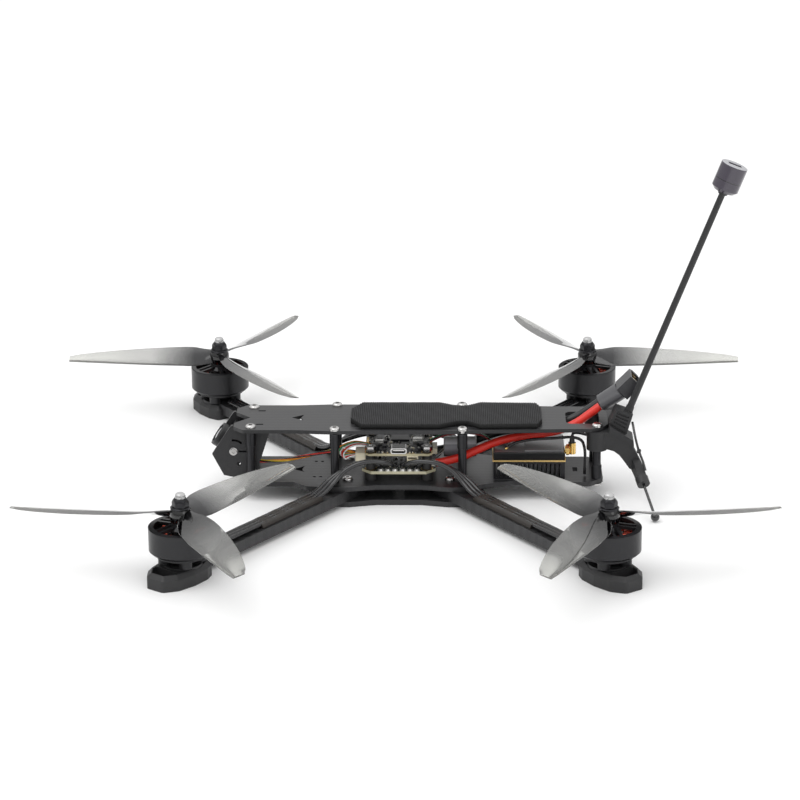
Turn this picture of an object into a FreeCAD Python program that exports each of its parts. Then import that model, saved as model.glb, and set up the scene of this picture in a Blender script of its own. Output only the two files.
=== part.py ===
"""Long-range racing quadcopter with seven-inch propellers, in millimetres.

Frame: the nose points to -X and the tail to +X, -Y is the left side, +Z is up. The origin is the
centre of the bottom plate's underside, midway between the four motors, level with the feet.
Three carbon plates on standoffs hold the camera, the board stack, the video transmitter and the
tail mount; four carbon arms between the lower two plates carry the motors.
"""
import FreeCAD, Part
import math
import os

V = FreeCAD.Vector
UP = V(0, 0, 1)

# Frame layout
MOTOR_X = 108.2
MOTOR_Y = 127.3
BOTTOM_PLATE = 3.0
ARM_PLATE = 6.0
MID_PLATE = 2.5
TOP_PLATE = 2.0
STANDOFF_LENGTH = 28.0
ARM_LOW = BOTTOM_PLATE
ARM_TOP = ARM_LOW + ARM_PLATE
MID_TOP = ARM_TOP + MID_PLATE
TOP_LOW = MID_TOP + STANDOFF_LENGTH
TOP_TOP = TOP_LOW + TOP_PLATE
PLATE_CORNER = 2.0

# M3 fasteners
SCREW_R = 1.45
SCREW_HOLE_R = 1.6
HEAD_R = 2.85
HEAD_HEIGHT = 1.65
HEX_ACROSS = 2.0
HEX_DEPTH = 1.1

# Standoff columns, at +Y and -Y
STANDOFFS = [(-80.2, 16.0), (-34.5, 20.0), (34.5, 20.0), (107.4, 13.8)]
STANDOFF_R = 2.3
STANDOFF_GRIP_R = 2.9
STANDOFF_GRIP_LENGTH = 9.5
STANDOFF_BORE_R = 1.5
ARM_BOLT = (27.9, 16.5)
STACK_PITCH = 30.5

# Arms
ARM_ROOT_X = 16.0
ARM_WIDTH = 13.0
ARM_END_R = 10.5
ARM_ANGLE = math.degrees(math.atan2(MOTOR_Y, MOTOR_X - ARM_ROOT_X))
ARM_LENGTH = math.hypot(MOTOR_X - ARM_ROOT_X, MOTOR_Y)
ARM_SPLIT = 0.3
FOOT_HEIGHT = 8.2
FOOT_BEVEL = 2.2

# Motors
MOTOR_TURN = 52.0
MOTOR_SCREW_CIRCLE_R = 8.0
CAN_R = 16.8
CAN_WALL = 1.9
CAN_LOW = 15.0
FLANGE_LOW = 13.2
FLANGE_TOP = 14.6
STATOR_LOW = 16.6
STATOR_TOP = 24.8
CAN_HIGH = 28.3
BELL_HUB_R = 5.2
PROP_SEAT = 31.0
SHAFT_R = 2.47
SHAFT_TOP = 46.2
BEARING_BORE_R = 2.5
STATOR_R = 13.2
STATOR_TEETH = 12
BASE_R = 13.4

# Propellers
HUB_R = 5.6
HUB_HEIGHT = 7.0
BORE_R = 2.5
# Distance from the axis, leading and trailing edge from the blade's line, height rise, thickness
BLADE = [(3.0, 3.6, -3.6, 3.0, 3.4), (9.0, 5.2, -5.0, 3.2, 2.6), (15.0, 8.2, -6.5, 3.4, 2.0),
         (24.0, 10.4, -7.0, 2.9, 1.7), (36.0, 11.0, -7.0, 2.4, 1.5), (48.0, 10.8, -6.3, 2.0, 1.3),
         (60.0, 9.9, -5.4, 1.6, 1.1), (72.0, 8.2, -4.4, 1.2, 1.0), (82.0, 6.0, -3.5, 0.9, 0.9),
         (88.3, 3.4, -2.7, 0.7, 0.8)]
# Angle of the first blade, and +1 for a propeller that turns anticlockwise seen from above
PROPS = {"front_left": (-1, -1, 173.3, 1), "rear_left": (1, -1, 7.3, -1),
         "front_right": (-1, 1, 183.2, -1), "rear_right": (1, 1, -3.8, 1)}

# Camera
CAMERA_PIVOT = V(-90.0, 0, 26.4)
CAMERA_TILT = 34.0
CAMERA_PLATE_Y = 10.4
CAMERA_PLATE = 2.3
CAMERA_SIZE = 19.0

# Board stack
ESC_LOW = 16.0
ESC_TOP = 17.6
FC_LOW = 25.8
FC_TOP = 27.2
JOINTS_X = [2.2, 6.0, 9.8]
JOINT_Y = 18.3

# Wires and leads
MOTOR_WIRE_R = 1.15
LEAD_R = 2.25
CAMERA_WIRE_R = 0.5

# Video transmitter
VTX = (51.5, 90.2, -15.0, 15.0)
VTX_FIN_TOP = 20.2
VTX_SPLIT = 22.3
VTX_TOP = 26.7

# Antenna on the tail, its lean measured from upright
ANTENNA_FOOT = V(124.2, -10.0, 48.5)
ANTENNA_LEAN = 21.2
ANTENNA_LENGTH = 132.0

os.makedirs("parts", exist_ok=True)


def box(x0, x1, y0, y1, z0, z1):
    return Part.makeBox(x1 - x0, y1 - y0, z1 - z0, V(x0, y0, z0))


def rod(radius, z0, z1, x=0.0, y=0.0):
    return Part.makeCylinder(radius, z1 - z0, V(x, y, z0))


def ring(outer, inner, z0, z1, x=0.0, y=0.0):
    return rod(outer, z0, z1, x, y).cut(rod(inner, z0 - 1, z1 + 1, x, y))


def bar(start, end, radius):
    along = end - start
    return Part.makeCylinder(radius, along.Length, start, along)


def prism(points, z0, z1):
    corners = [V(x, y, z0) for x, y in points]
    return Part.Face(Part.makePolygon(corners + corners[:1])).extrude(V(0, 0, z1 - z0))


def side_prism(points, y0, y1):
    """An outline in X and Z, given a thickness along Y."""
    corners = [V(x, y0, z) for x, z in points]
    return Part.Face(Part.makePolygon(corners + corners[:1])).extrude(V(0, y1 - y0, 0))


def both_sides(half):
    """A plate's whole outline from its right half, listed from the nose to the tail."""
    return half + [(x, -y) for x, y in reversed(half) if y > 0]


def soften(shape, radius, keep=lambda edge: True):
    """Rounds the upright edges of a plate."""
    upright = [e for e in shape.Edges if len(e.Vertexes) == 2
               and abs(e.tangentAt(e.FirstParameter).z) > 0.99 and keep(e)]
    return shape.makeFillet(radius, upright)


def join(shapes):
    return shapes[0].multiFuse(shapes[1:]).removeSplitter() if len(shapes) > 1 else shapes[0]


def turned(shape, degrees, centre=V(0, 0, 0), axis=UP):
    copy = shape.copy()
    copy.rotate(centre, axis, degrees)
    return copy


def moved(shape, x=0.0, y=0.0, z=0.0):
    copy = shape.copy()
    copy.translate(V(x, y, z))
    return copy


def to_corner(shape, side_x, side_y):
    """Mirrors a shape made at the rear right corner (+X, +Y) to another corner."""
    if side_x < 0:
        shape = shape.mirror(V(0, 0, 0), V(1, 0, 0))
    if side_y < 0:
        shape = shape.mirror(V(0, 0, 0), V(0, 1, 0))
    return shape


def on_arm(shape):
    """Turns a shape made along +X, from the arm's root, to the rear right arm."""
    return moved(turned(shape, ARM_ANGLE), ARM_ROOT_X)


def hexagon(across, z0, z1, x=0.0, y=0.0):
    radius = across / math.sqrt(3)
    corners = [(x + radius * math.cos(math.radians(60 * i)), y + radius * math.sin(math.radians(60 * i)))
               for i in range(6)]
    return prism(corners, z0, z1)


def button_screw(x, y, seat, length, up=True):
    """A button-head screw whose head rests on seat, above the plate or below it."""
    head = rod(HEAD_R, 0, HEAD_HEIGHT)
    head = head.makeFillet(1.2, [e for e in head.Edges if e.BoundBox.ZMin > HEAD_HEIGHT - 0.01])
    head = head.cut(hexagon(HEX_ACROSS, HEAD_HEIGHT - HEX_DEPTH, HEAD_HEIGHT + 1))
    screw = join([head, rod(SCREW_R, -length, 0.2)])
    if not up:
        screw = turned(screw, 180, axis=V(1, 0, 0))
    return moved(screw, x, y, seat)


def smooth_path(points):
    """Straight runs joined by tangent arcs, and the arcs' radii."""
    edges = []
    radii = []
    last = points[0]
    for before, corner, after in zip(points, points[1:], points[2:]):
        back = before - corner
        ahead = after - corner
        reach = 0.45 * min(back.Length, ahead.Length)
        back.normalize()
        ahead.normalize()
        half_turn = (math.pi - back.getAngle(ahead)) / 2
        radius = reach / math.tan(half_turn)
        inward = back + ahead
        inward.normalize()
        start = corner + back * reach
        end = corner + ahead * reach
        middle = corner + inward * (radius / math.cos(half_turn) - radius)
        edges.append(Part.LineSegment(last, start).toShape())
        edges.append(Part.Arc(start, middle, end).toShape())
        radii.append(radius)
        last = end
    edges.append(Part.LineSegment(last, points[-1]).toShape())
    return Part.Wire(edges), radii


def tube(name, route, radius):
    """A round wire along a route, with its radii and volume printed as a check."""
    points = [V(*p) for p in route]
    path, radii = smooth_path(points)
    circle = Part.Wire(Part.makeCircle(radius, points[0], points[1] - points[0]))
    solid = path.makePipeShell([circle], True, False)
    expected = math.pi * radius ** 2 * path.Length
    tightest = min(radii) if radii else 0
    ratio = solid.Volume / expected
    print(f"{name}: length {path.Length:.1f}, tightest {tightest:.1f}, volume ratio {ratio:.3f}")
    return solid


def write(name, *shapes):
    solids = [solid for shape in shapes for solid in shape.Solids]
    assert solids and all(s.isValid() for s in solids), name
    Part.makeCompound(solids).exportStep(f"parts/{name}.step")


# Carbon plates

CENTRE_HALF = [(-46, 10), (-35.5, 28), (-27, 28.5), (-12, 25.2), (12, 25.2), (27, 28.5), (35.5, 28), (46, 10)]


def plate_holes(columns, z0, z1):
    return [rod(SCREW_HOLE_R, z0 - 1, z1 + 1, x, y * side) for x, y in columns for side in (-1, 1)]


def stack_places():
    half = STACK_PITCH / 2
    return [(x, y) for x in (-half, half) for y in (-half, half)]


def arm_bolt_places():
    x, y = ARM_BOLT
    return [(x * sx, y * sy) for sx in (-1, 1) for sy in (-1, 1)]


def bottom_plate():
    plate = soften(prism(both_sides(CENTRE_HALF), 0, BOTTOM_PLATE), PLATE_CORNER)
    holes = plate_holes(STANDOFFS[1:3], 0, BOTTOM_PLATE)
    sinks = [Part.makeCone(SINK_R, SCREW_HOLE_R, SINK_DEPTH, V(x, y * side, 0))
             for x, y in STANDOFFS[1:3] for side in (-1, 1)]
    bolts = [rod(SCREW_HOLE_R, -1, BOTTOM_PLATE + 1, x, y) for x, y in arm_bolt_places()]
    slots = [box(-31, -20, -2.2, 2.2, -1, BOTTOM_PLATE + 1), box(20, 31, -2.2, 2.2, -1, BOTTOM_PLATE + 1)]
    return plate.cut(holes + sinks + bolts + slots)


SINK_R = 3.1
SINK_DEPTH = 1.5

MID_HALF = [(-88, 12), (-82, 20.3), (-57, 20.3), (-50, 26.6), (-37, 28.3), (-27, 28.5), (-12, 25.2),
            (12, 25.2), (27, 28.5), (37, 28.3), (45, 23.7), (62, 18.2), (76, 18.2), (90, 20), (104, 20),
            (111, 13)]
ACCESSORY_X = [-46.2, -42.8]
ACCESSORY_Y = 12.0
ACCESSORY_R = 0.9


def chevron(tip_x, back_x, half_width, z0, z1):
    notch_x = back_x - (back_x - tip_x) * 0.22
    return prism([(tip_x, 0), (back_x, half_width), (notch_x, 0), (back_x, -half_width)], z0, z1)


def mid_plate():
    plate = soften(prism(both_sides(MID_HALF), ARM_TOP, MID_TOP), PLATE_CORNER)
    tools = plate_holes(STANDOFFS, ARM_TOP, MID_TOP)
    for x, y in stack_places() + arm_bolt_places():
        tools.append(rod(SCREW_HOLE_R, ARM_TOP - 1, MID_TOP + 1, x, y))
    for x in ACCESSORY_X:
        for side in (-1, 1):
            tools.append(rod(ACCESSORY_R, ARM_TOP - 1, MID_TOP + 1, x, side * ACCESSORY_Y))
    tools.append(chevron(-58.0, -52.2, 4.6, ARM_TOP - 1, MID_TOP + 1))
    tools.append(box(95.0, 97.6, -3.0, 3.0, ARM_TOP - 1, MID_TOP + 1))
    return plate.cut(tools)


TOP_HALF = [(-89.5, 11.5), (-89.5, 15), (-84, 20.3), (-56, 20.3), (-38, 21.8), (20, 21.8), (50, 20),
            (87, 18.6), (104, 18.2), (111, 14.5), (113.5, 10)]
NOTCH = [(-95, 14.6), (-81.3, 0), (-95, -14.6)]
LEAD_SLOT = (90.8, 109.0, 9.8)


def top_plate():
    outline = prism(both_sides(TOP_HALF), TOP_LOW, TOP_TOP)
    plate = soften(outline, PLATE_CORNER, lambda e: e.BoundBox.XMin > -88)
    tools = plate_holes(STANDOFFS, TOP_LOW, TOP_TOP)
    tools.append(prism(NOTCH, TOP_LOW - 1, TOP_TOP + 1))
    tools.append(chevron(-58.6, -52, 4.6, TOP_LOW - 1, TOP_TOP + 1))
    for side in (-1, 1):
        tools.append(box(-77.5, -73.6, side * 11 - 0.8, side * 11 + 0.8, TOP_LOW - 1, TOP_TOP + 1))
    x0, x1, half = LEAD_SLOT
    tools.append(soften(box(x0, x1, -half, half, TOP_LOW - 1, TOP_TOP + 1), 3.5))
    return plate.cut(tools)


PAD_THICK = 3.0
PAD_HALF = [(-26.3, 8), (-20, 18.8), (22, 18.8), (31.5, 13.2),
            (37, 13.2), (44.5, 18.8), (75, 17.6), (78.5, 8)]


def battery_pad():
    return soften(prism(both_sides(PAD_HALF), TOP_TOP, TOP_TOP + PAD_THICK), 1.5)


# Arms and feet

def motor_pattern(radius):
    """The four motor screws about the motor's axis, at the arm's end."""
    return [(ARM_LENGTH + radius * math.cos(math.radians(MOTOR_TURN + 90 * i)),
             radius * math.sin(math.radians(MOTOR_TURN + 90 * i))) for i in range(4)]


ARM_ROOT = [(3, 0), (33, 0), (33, 8), (24, 12), (3, 12)]


def arm():
    half = ARM_WIDTH / 2
    beam = join([box(-8, ARM_LENGTH, -half, half, ARM_LOW, ARM_TOP),
                 rod(ARM_END_R, ARM_LOW, ARM_TOP, ARM_LENGTH)])
    places = motor_pattern(MOTOR_SCREW_CIRCLE_R)
    holes = [rod(SCREW_HOLE_R, ARM_LOW - 1, ARM_TOP + 1, x, y) for x, y in places]
    holes.append(rod(3.0, ARM_LOW - 1, ARM_TOP + 1, ARM_LENGTH))
    blank = join([on_arm(beam.cut(holes)), prism(ARM_ROOT, ARM_LOW, ARM_TOP)])
    inner = box(-60, 80, -60, ARM_SPLIT, ARM_LOW - 1, ARM_TOP + 1)
    nose_side = box(-60, 2.0, -60, 60, ARM_LOW - 1, ARM_TOP + 1)
    bolts = [rod(SCREW_HOLE_R, ARM_LOW - 1, ARM_TOP + 1, *place) for place in (ARM_BOLT, STANDOFFS[2])]
    return blank.cut([inner, nose_side] + bolts)


FOOT_HALF = [(-12.5, 9.4), (-6, 11.9), (4, 12.3), (14.5, 10.4), (21.5, 5.2)]
FOOT_TIP_HALF = [(11.5, 7.2), (14.3, 7.2), (19.0, 3.8)]
SCREW_WELL_R = 3.3
FIT_GAP = 0.15


def foot():
    """A printed cup about the arm's end, bevelled round its rim, with a hollow tip."""
    body = soften(prism(both_sides(FOOT_HALF), 0, FOOT_HEIGHT), 2.6)
    rim = [e for e in body.Edges if e.BoundBox.ZMin > FOOT_HEIGHT - 0.01]
    body = moved(body.makeChamfer(FOOT_BEVEL, rim), ARM_LENGTH)
    half = ARM_WIDTH / 2 + FIT_GAP
    wells = [rod(SCREW_WELL_R, -1, ARM_LOW + 1, x, y) for x, y in motor_pattern(MOTOR_SCREW_CIRCLE_R)]
    tip = moved(prism(both_sides(FOOT_TIP_HALF), 4.0, FOOT_HEIGHT + 1), ARM_LENGTH)
    body = body.cut([box(ARM_LENGTH - 30, ARM_LENGTH, -half, half, ARM_LOW, FOOT_HEIGHT + 2),
                     rod(ARM_END_R + FIT_GAP, ARM_LOW, FOOT_HEIGHT + 2, ARM_LENGTH), tip] + wells)
    return on_arm(body)


# Motors, made on the Z axis and moved to their corners

LEG_R = 3.4
HUB_TUBE_R = 5.4


def motor_base():
    places = [(x - ARM_LENGTH, y) for x, y in motor_pattern(MOTOR_SCREW_CIRCLE_R)]
    legs = [rod(LEG_R, ARM_TOP, FLANGE_LOW + 0.5, x * 1.12, y * 1.12) for x, y in places]
    flange = rod(BASE_R, FLANGE_LOW, FLANGE_TOP)
    body = join([flange, rod(HUB_TUBE_R, ARM_TOP + 0.4, 25.6)] + legs)
    holes = [rod(STANDOFF_BORE_R, ARM_TOP - 1, FLANGE_LOW, x, y) for x, y in places]
    body = body.cut(holes + [rod(BEARING_SEAT_R, 23.1, 26), rod(BEARING_SEAT_R, 9, 11.9), rod(3.4, 9, 26)])
    tooth = box(HUB_TUBE_R + 1.6, STATOR_R - 0.6, -0.9, 0.9, STATOR_LOW, STATOR_TOP)
    teeth = [turned(tooth, 360 / STATOR_TEETH * i)
             for i in range(STATOR_TEETH)]
    shoes = [turned(shoe(), 360 / STATOR_TEETH * i) for i in range(STATOR_TEETH)]
    core = join([ring(HUB_TUBE_R + 2.2, HUB_TUBE_R, STATOR_LOW, STATOR_TOP)] + teeth + shoes)
    bearings = [ring(BEARING_SEAT_R, BEARING_BORE_R, 23.1, 25.6),
                ring(BEARING_SEAT_R, BEARING_BORE_R, 9.4, 11.9)]
    return [body, core] + bearings


BEARING_SEAT_R = 4.4
COIL_LOW = 15.3
COIL_TOP = 26.2


def shoe():
    """The curved tip of one stator tooth."""
    wedge = prism([(0, 0), (20, -4.0), (20, 4.0)], STATOR_LOW, STATOR_TOP)
    return ring(STATOR_R, STATOR_R - 1.0, STATOR_LOW, STATOR_TOP).common(wedge)


def windings():
    coil = box(HUB_TUBE_R + 2.4, STATOR_R - 1.35, -2.1, 2.1, COIL_LOW, COIL_TOP)
    coil = coil.makeFillet(0.8, [e for e in coil.Edges if abs(e.tangentAt(e.FirstParameter).x) > 0.99])
    coil = coil.cut(box(0, 20, -0.92, 0.92, STATOR_LOW - 0.1, STATOR_TOP + 0.1))
    wedge = prism([(0, 0), (20, -5.1), (20, 5.1)], 10, 30)
    return [turned(coil.common(wedge), 360 / STATOR_TEETH * i) for i in range(STATOR_TEETH)]


SPOKE_PAIRS = 5
SPOKE_WIDTH = 1.5
RIM_HEIGHT = 1.6


def rotor():
    wall = ring(CAN_R, CAN_R - CAN_WALL, CAN_LOW, CAN_HIGH)
    low_edge = [e for e in wall.Edges
                if e.BoundBox.ZMax < CAN_LOW + 0.01 and e.BoundBox.XLength > 2 * CAN_R - 1]
    wall = wall.makeChamfer(1.3, low_edge)
    rim = ring(CAN_R - 0.4, CAN_R - 2.8, CAN_HIGH - RIM_HEIGHT, CAN_HIGH + 0.3)
    hub = join([rod(BELL_HUB_R, 27.6, PROP_SEAT),
                Part.makeCone(BELL_HUB_R + 1.6, BELL_HUB_R, 1.8, V(0, 0, 27.6))])
    spokes = []
    for i in range(SPOKE_PAIRS):
        for lean in (-1, 1):
            inner = 360 / SPOKE_PAIRS * i + lean * 24
            outer = 360 / SPOKE_PAIRS * i + lean * 7
            spokes.append(spoke(inner, outer))
    bell = join([wall, rim, hub] + spokes).cut(rod(SHAFT_R, 20, 40))
    shaft = rod(SHAFT_R, 9.6, SHAFT_TOP)
    shaft = shaft.makeChamfer(0.6, [e for e in shaft.Edges if e.BoundBox.ZMin > SHAFT_TOP - 0.01])
    magnets = ring(CAN_R - CAN_WALL, CAN_R - CAN_WALL - 1.2, STATOR_LOW, STATOR_TOP + 0.6)
    return [bell, shaft, magnets]


def spoke(inner_angle, outer_angle):
    """One sloping spoke of the bell, from the hub down to the rim."""
    inner = V(4.6 * math.cos(math.radians(inner_angle)), 4.6 * math.sin(math.radians(inner_angle)), 29.0)
    outer_r = CAN_R - 1.6
    angle = math.radians(outer_angle)
    outer = V(outer_r * math.cos(angle), outer_r * math.sin(angle), 27.6)
    along = outer - inner
    side = along.cross(UP)
    side.normalize()
    sections = []
    for point in (inner, outer):
        corners = [point + side * (a * SPOKE_WIDTH / 2) + UP * b for a, b in
                   ((-1, -0.8), (1, -0.8), (1, 0.8), (-1, 0.8))]
        sections.append(Part.makePolygon(corners + corners[:1]))
    return Part.makeLoft(sections, True)


# Propellers

def blade(spin):
    """One blade along +X: lens-shaped sections, twisted so that the leading edge is higher."""
    sections = []
    for r, lead, trail, rise, thick in BLADE:
        low = V(r, trail * spin, -rise)
        high = V(r, lead * spin, rise)
        middle = V(r, (lead + trail) / 2 * spin, 0.35 * rise)
        over = Part.Arc(low, middle + UP * thick * 0.5, high)
        under = Part.Arc(high, middle - UP * thick * 0.5, low)
        sections.append(Part.Wire([over.toShape(), under.toShape()]))
    return moved(Part.makeLoft(sections, True), 0, 0, PROP_SEAT + HUB_HEIGHT / 2)


def propeller(start, spin):
    blades = [turned(blade(spin), start + 120 * i) for i in range(3)]
    hub = rod(HUB_R, PROP_SEAT, PROP_SEAT + HUB_HEIGHT)
    return join([hub] + blades).cut(rod(BORE_R, PROP_SEAT - 1, PROP_SEAT + HUB_HEIGHT + 1))


def prop_nut():
    """A flanged lock nut with its nylon collar."""
    seat = PROP_SEAT + HUB_HEIGHT
    body = join([rod(5.3, seat, seat + 1.0), hexagon(8.0, seat + 1.0, seat + 5.4)])
    body = body.common(join([rod(6, seat, seat + 4.4), Part.makeCone(5.0, 3.6, 1.4, V(0, 0, seat + 4.2))]))
    return join([body, rod(3.7, seat + 5.2, seat + 6.6)]).cut(rod(BORE_R, seat - 1, seat + 8))


def motor_screws(x, y):
    return [button_screw(x + px, y + py, ARM_LOW, 9.0, up=False) for px, py in arm_end_places()]


def arm_end_places():
    places = [(x - ARM_LENGTH, y) for x, y in motor_pattern(MOTOR_SCREW_CIRCLE_R)]
    turn = math.radians(ARM_ANGLE)
    cos = math.cos(turn)
    sin = math.sin(turn)
    return [(x * cos - y * sin, x * sin + y * cos) for x, y in places]


# Standoffs and frame screws

def standoff(x, y):
    grip_low = TOP_LOW - STANDOFF_GRIP_LENGTH
    body = join([rod(STANDOFF_R, MID_TOP, TOP_LOW, x, y), rod(STANDOFF_GRIP_R, grip_low, TOP_LOW, x, y)])
    return body.cut([rod(STANDOFF_BORE_R, MID_TOP - 1, MID_TOP + 9, x, y),
                     rod(STANDOFF_BORE_R, TOP_LOW - 9, TOP_LOW + 1, x, y)])


def flat_screw(x, y, length):
    """A countersunk screw from under the bottom plate."""
    cone = Part.makeCone(SINK_R - 0.1, SCREW_R, SINK_DEPTH, V(x, y, 0.05))
    return join([cone, rod(SCREW_R, 0.05, length, x, y)]).cut(hexagon(HEX_ACROSS, -1, 1.0, x, y))


def frame_bolts():
    bolts = [button_screw(x, y, MID_TOP, MID_TOP - 0.3) for x, y in arm_bolt_places()]
    bolts += [flat_screw(x, y * side, MID_TOP + 7) for x, y in STANDOFFS[1:3] for side in (-1, 1)]
    bolts += [button_screw(x, y * side, ARM_TOP, 9.0, up=False) for x, y in (STANDOFFS[0], STANDOFFS[3])
              for side in (-1, 1)]
    return bolts


# Camera

CAMERA_SIDE = [(-101.7, 24.9), (-95.5, 12.7), (-90.0, MID_TOP), (-79.0, MID_TOP), (-76.3, 18.5), (-70.4, 36.5),
               (-71.2, TOP_LOW), (-89.8, TOP_LOW), (-90.0, 41.1), (-91.0, 41.1), (-92.7, 38.8)]


def camera_plate(side):
    """A carbon side plate, with the tilt slot, two small holes and the pivot hole."""
    inner = CAMERA_PLATE_Y
    outer = CAMERA_PLATE_Y + CAMERA_PLATE
    plate = side_prism(CAMERA_SIDE, inner, outer)
    pivot_x, _, pivot_z = CAMERA_PIVOT
    tools = [cross_hole(pivot_x, pivot_z, 1.1), cross_hole(-87.2, 19.1, 1.0)]
    tools.append(side_prism([(-87.2, 26.9), (-82.6, 26.9), (-82.6, 25.9), (-87.2, 25.9)], 0, 20))
    arc_out = Part.makeCylinder(7.0, 20, V(pivot_x, 0, pivot_z), V(0, 1, 0))
    arc_in = Part.makeCylinder(5.8, 20, V(pivot_x, 0, pivot_z), V(0, 1, 0))
    window = side_prism([(pivot_x, pivot_z), (pivot_x - 1.5, pivot_z + 12),
                         (pivot_x + 12, pivot_z + 12)], 0, 20)
    tools.append(arc_out.cut(arc_in).common(window))
    plate = plate.cut(tools)
    return plate if side > 0 else plate.mirror(V(0, 0, 0), V(0, 1, 0))


def cross_hole(x, z, radius):
    return Part.makeCylinder(radius, 40, V(x, -20, z), V(0, 1, 0))


def tilted(shape):
    """Turns a camera piece made pointing along -X, about the pivot."""
    return turned(shape, CAMERA_TILT, CAMERA_PIVOT, V(0, 1, 0))


def camera_body():
    half = CAMERA_SIZE / 2
    x, _, z = CAMERA_PIVOT
    case = box(x - 6, x + 7, -half, half, z - half, z + half)
    case = case.makeFillet(1.5, [e for e in case.Edges if abs(e.tangentAt(e.FirstParameter).x) > 0.99])
    plug = box(x + 7, x + 9.4, -5, 5, z - 6, z - 2)
    seat = Part.makeCylinder(6.0, 2.0, V(x - 8, 0, z), V(1, 0, 0))
    body = join([case, plug, seat]).cut(cross_hole(x, z, 0.9))
    return tilted(body)


LENS_FRONT = 11.2


def camera_lens():
    x, _, z = CAMERA_PIVOT
    barrel = Part.makeCylinder(6.8, LENS_FRONT - 8.0, V(x - LENS_FRONT, 0, z), V(1, 0, 0))
    barrel = barrel.makeChamfer(0.6, [e for e in barrel.Edges if e.BoundBox.XMax < x - LENS_FRONT + 0.1])
    pocket = Part.makeCylinder(5.5, 2.0, V(x - LENS_FRONT - 1, 0, z), V(1, 0, 0))
    glass = Part.makeSphere(12.0, V(x - LENS_FRONT + 11.9, 0, z))
    glass = glass.common(Part.makeCylinder(5.45, 1.0, V(x - LENS_FRONT, 0, z), V(1, 0, 0)))
    return [tilted(barrel.cut(pocket)), tilted(glass)]


def side_screw(x, y, z, side, head_r, length):
    """A small screw along Y, its head on the outside at y."""
    head = Part.makeCylinder(head_r, 1.3, V(x, y, z), V(0, side, 0))
    socket = Part.makeCylinder(head_r * 0.45, 1.0, V(x, y + side * 0.6, z), V(0, side, 0))
    shank = Part.makeCylinder(0.85, length, V(x, y + side * 0.1, z), V(0, -side, 0))
    return join([head.cut(socket), shank])


# Board stack

def board(half_x, half_y, z0, z1, cut):
    blank = box(-half_x, half_x, -half_y, half_y, z0, z1)
    blank = blank.makeChamfer(cut, [e for e in blank.Edges if abs(e.tangentAt(e.FirstParameter).z) > 0.99])
    return blank.cut([rod(2.1, z0 - 1, z1 + 1, x, y) for x, y in stack_places()])


def solder_joints():
    joints = []
    for x in JOINTS_X:
        for sx in (-1, 1):
            for sy in (-1, 1):
                joints.append(Part.makeCone(1.5, 0.7, 1.9, V(x * sx, JOINT_Y * sy, ESC_TOP)))
    pads = [box(16.6, 19.7, y - 2.6, y + 2.6, ESC_TOP, ESC_TOP + 2.4) for y in (LEAD_START_Y, -LEAD_START_Y)]
    switches = [box(x, x + 4.6, y, y + 4.8, ESC_TOP, ESC_TOP + 1.0) for x in (-11.5, -5.6, 0.3, 6.2)
                for y in (-11.0, 6.2)]
    return joints + pads + switches


LEAD_START_Y = -10.2


def fc_parts():
    """Chips, shields, coils and small parts on the flight controller's top."""
    chips = [(-4.5, 5.5, 1.0, 11.0, 1.2), (-13.0, -8.9, -4.5, 0.5, 1.6), (7.6, 12.6, -3.0, 2.4, 2.2),
             (8.2, 11.4, 6.0, 9.2, 1.0), (-12.4, -9.2, 4.0, 8.6, 0.9), (-3.4, -0.6, -6.8, -3.4, 0.8),
             (1.2, 5.4, -6.6, -2.4, 1.1), (-9.0, -6.8, -9.6, -6.0, 1.4), (7.0, 9.4, -10.6, -7.2, 1.3),
             (-10.6, -9.2, -14.4, -11.8, 1.0), (-8.4, -7.0, -14.4, -11.8, 1.0), (6.6, 8.0, -15.4, -12.6, 1.0),
             (9.0, 10.4, -15.4, -13.2, 1.0), (-7.0, 7.0, 13.4, 16.6, 1.8)]
    solids = [box(x0, x1, y0, y1, FC_TOP, FC_TOP + h) for x0, x1, y0, y1, h in chips]
    solids += [rod(r, FC_TOP, FC_TOP + h, x, y) for x, y, r, h in
               ((-12.4, -9.4, 2.0, 2.6), (11.8, -6.6, 1.8, 2.4), (-7.6, -2.2, 1.2, 1.8))]
    return solids


def usb_port():
    shell = box(-4.4, 4.4, -18.8, -11.4, FC_TOP, FC_TOP + 3.2)
    shell = shell.makeFillet(1.2, [e for e in shell.Edges if abs(e.tangentAt(e.FirstParameter).y) > 0.99])
    mouth = box(-3.9, 3.9, -19.8, -12.4, FC_TOP + 0.5, FC_TOP + 2.7)
    mouth = mouth.makeFillet(1.0, [e for e in mouth.Edges if abs(e.tangentAt(e.FirstParameter).y) > 0.99])
    tongue = box(-3.0, 3.0, -17.6, -12.4, FC_TOP + 1.3, FC_TOP + 1.9)
    return join([shell.cut(mouth), tongue])


def wire_plugs():
    front = box(4.5, 10.5, -18.4, -14.2, FC_LOW - 2.9, FC_LOW)
    front = front.cut(box(5.1, 9.9, -19, -15.0, FC_LOW - 2.2, FC_LOW - 0.7))
    nose = box(-23.6, -18.1, -14.0, -3.0, FC_LOW - 4.4, FC_LOW)
    tail = box(17.2, 20.8, -6.0, 4.0, FC_LOW - 3.2, FC_LOW)
    return [front, nose, tail]


NUT_LOW = 28.3


def stack_screws():
    screws = []
    for x, y in stack_places():
        shank = button_screw(x, y, ARM_TOP, 21.5, up=False)
        nut = hexagon(5.5, NUT_LOW, NUT_LOW + 2.4, x, y).cut(rod(SCREW_R, NUT_LOW - 1, NUT_LOW + 4, x, y))
        screws += [shank, nut]
    x, _, z = CAMERA_PIVOT
    outer = CAMERA_PLATE_Y + CAMERA_PLATE
    for side in (-1, 1):
        screws.append(side_screw(x, side * (outer + 0.02), z, side, 1.7, CAMERA_PLATE + 0.2))
    return screws


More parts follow.
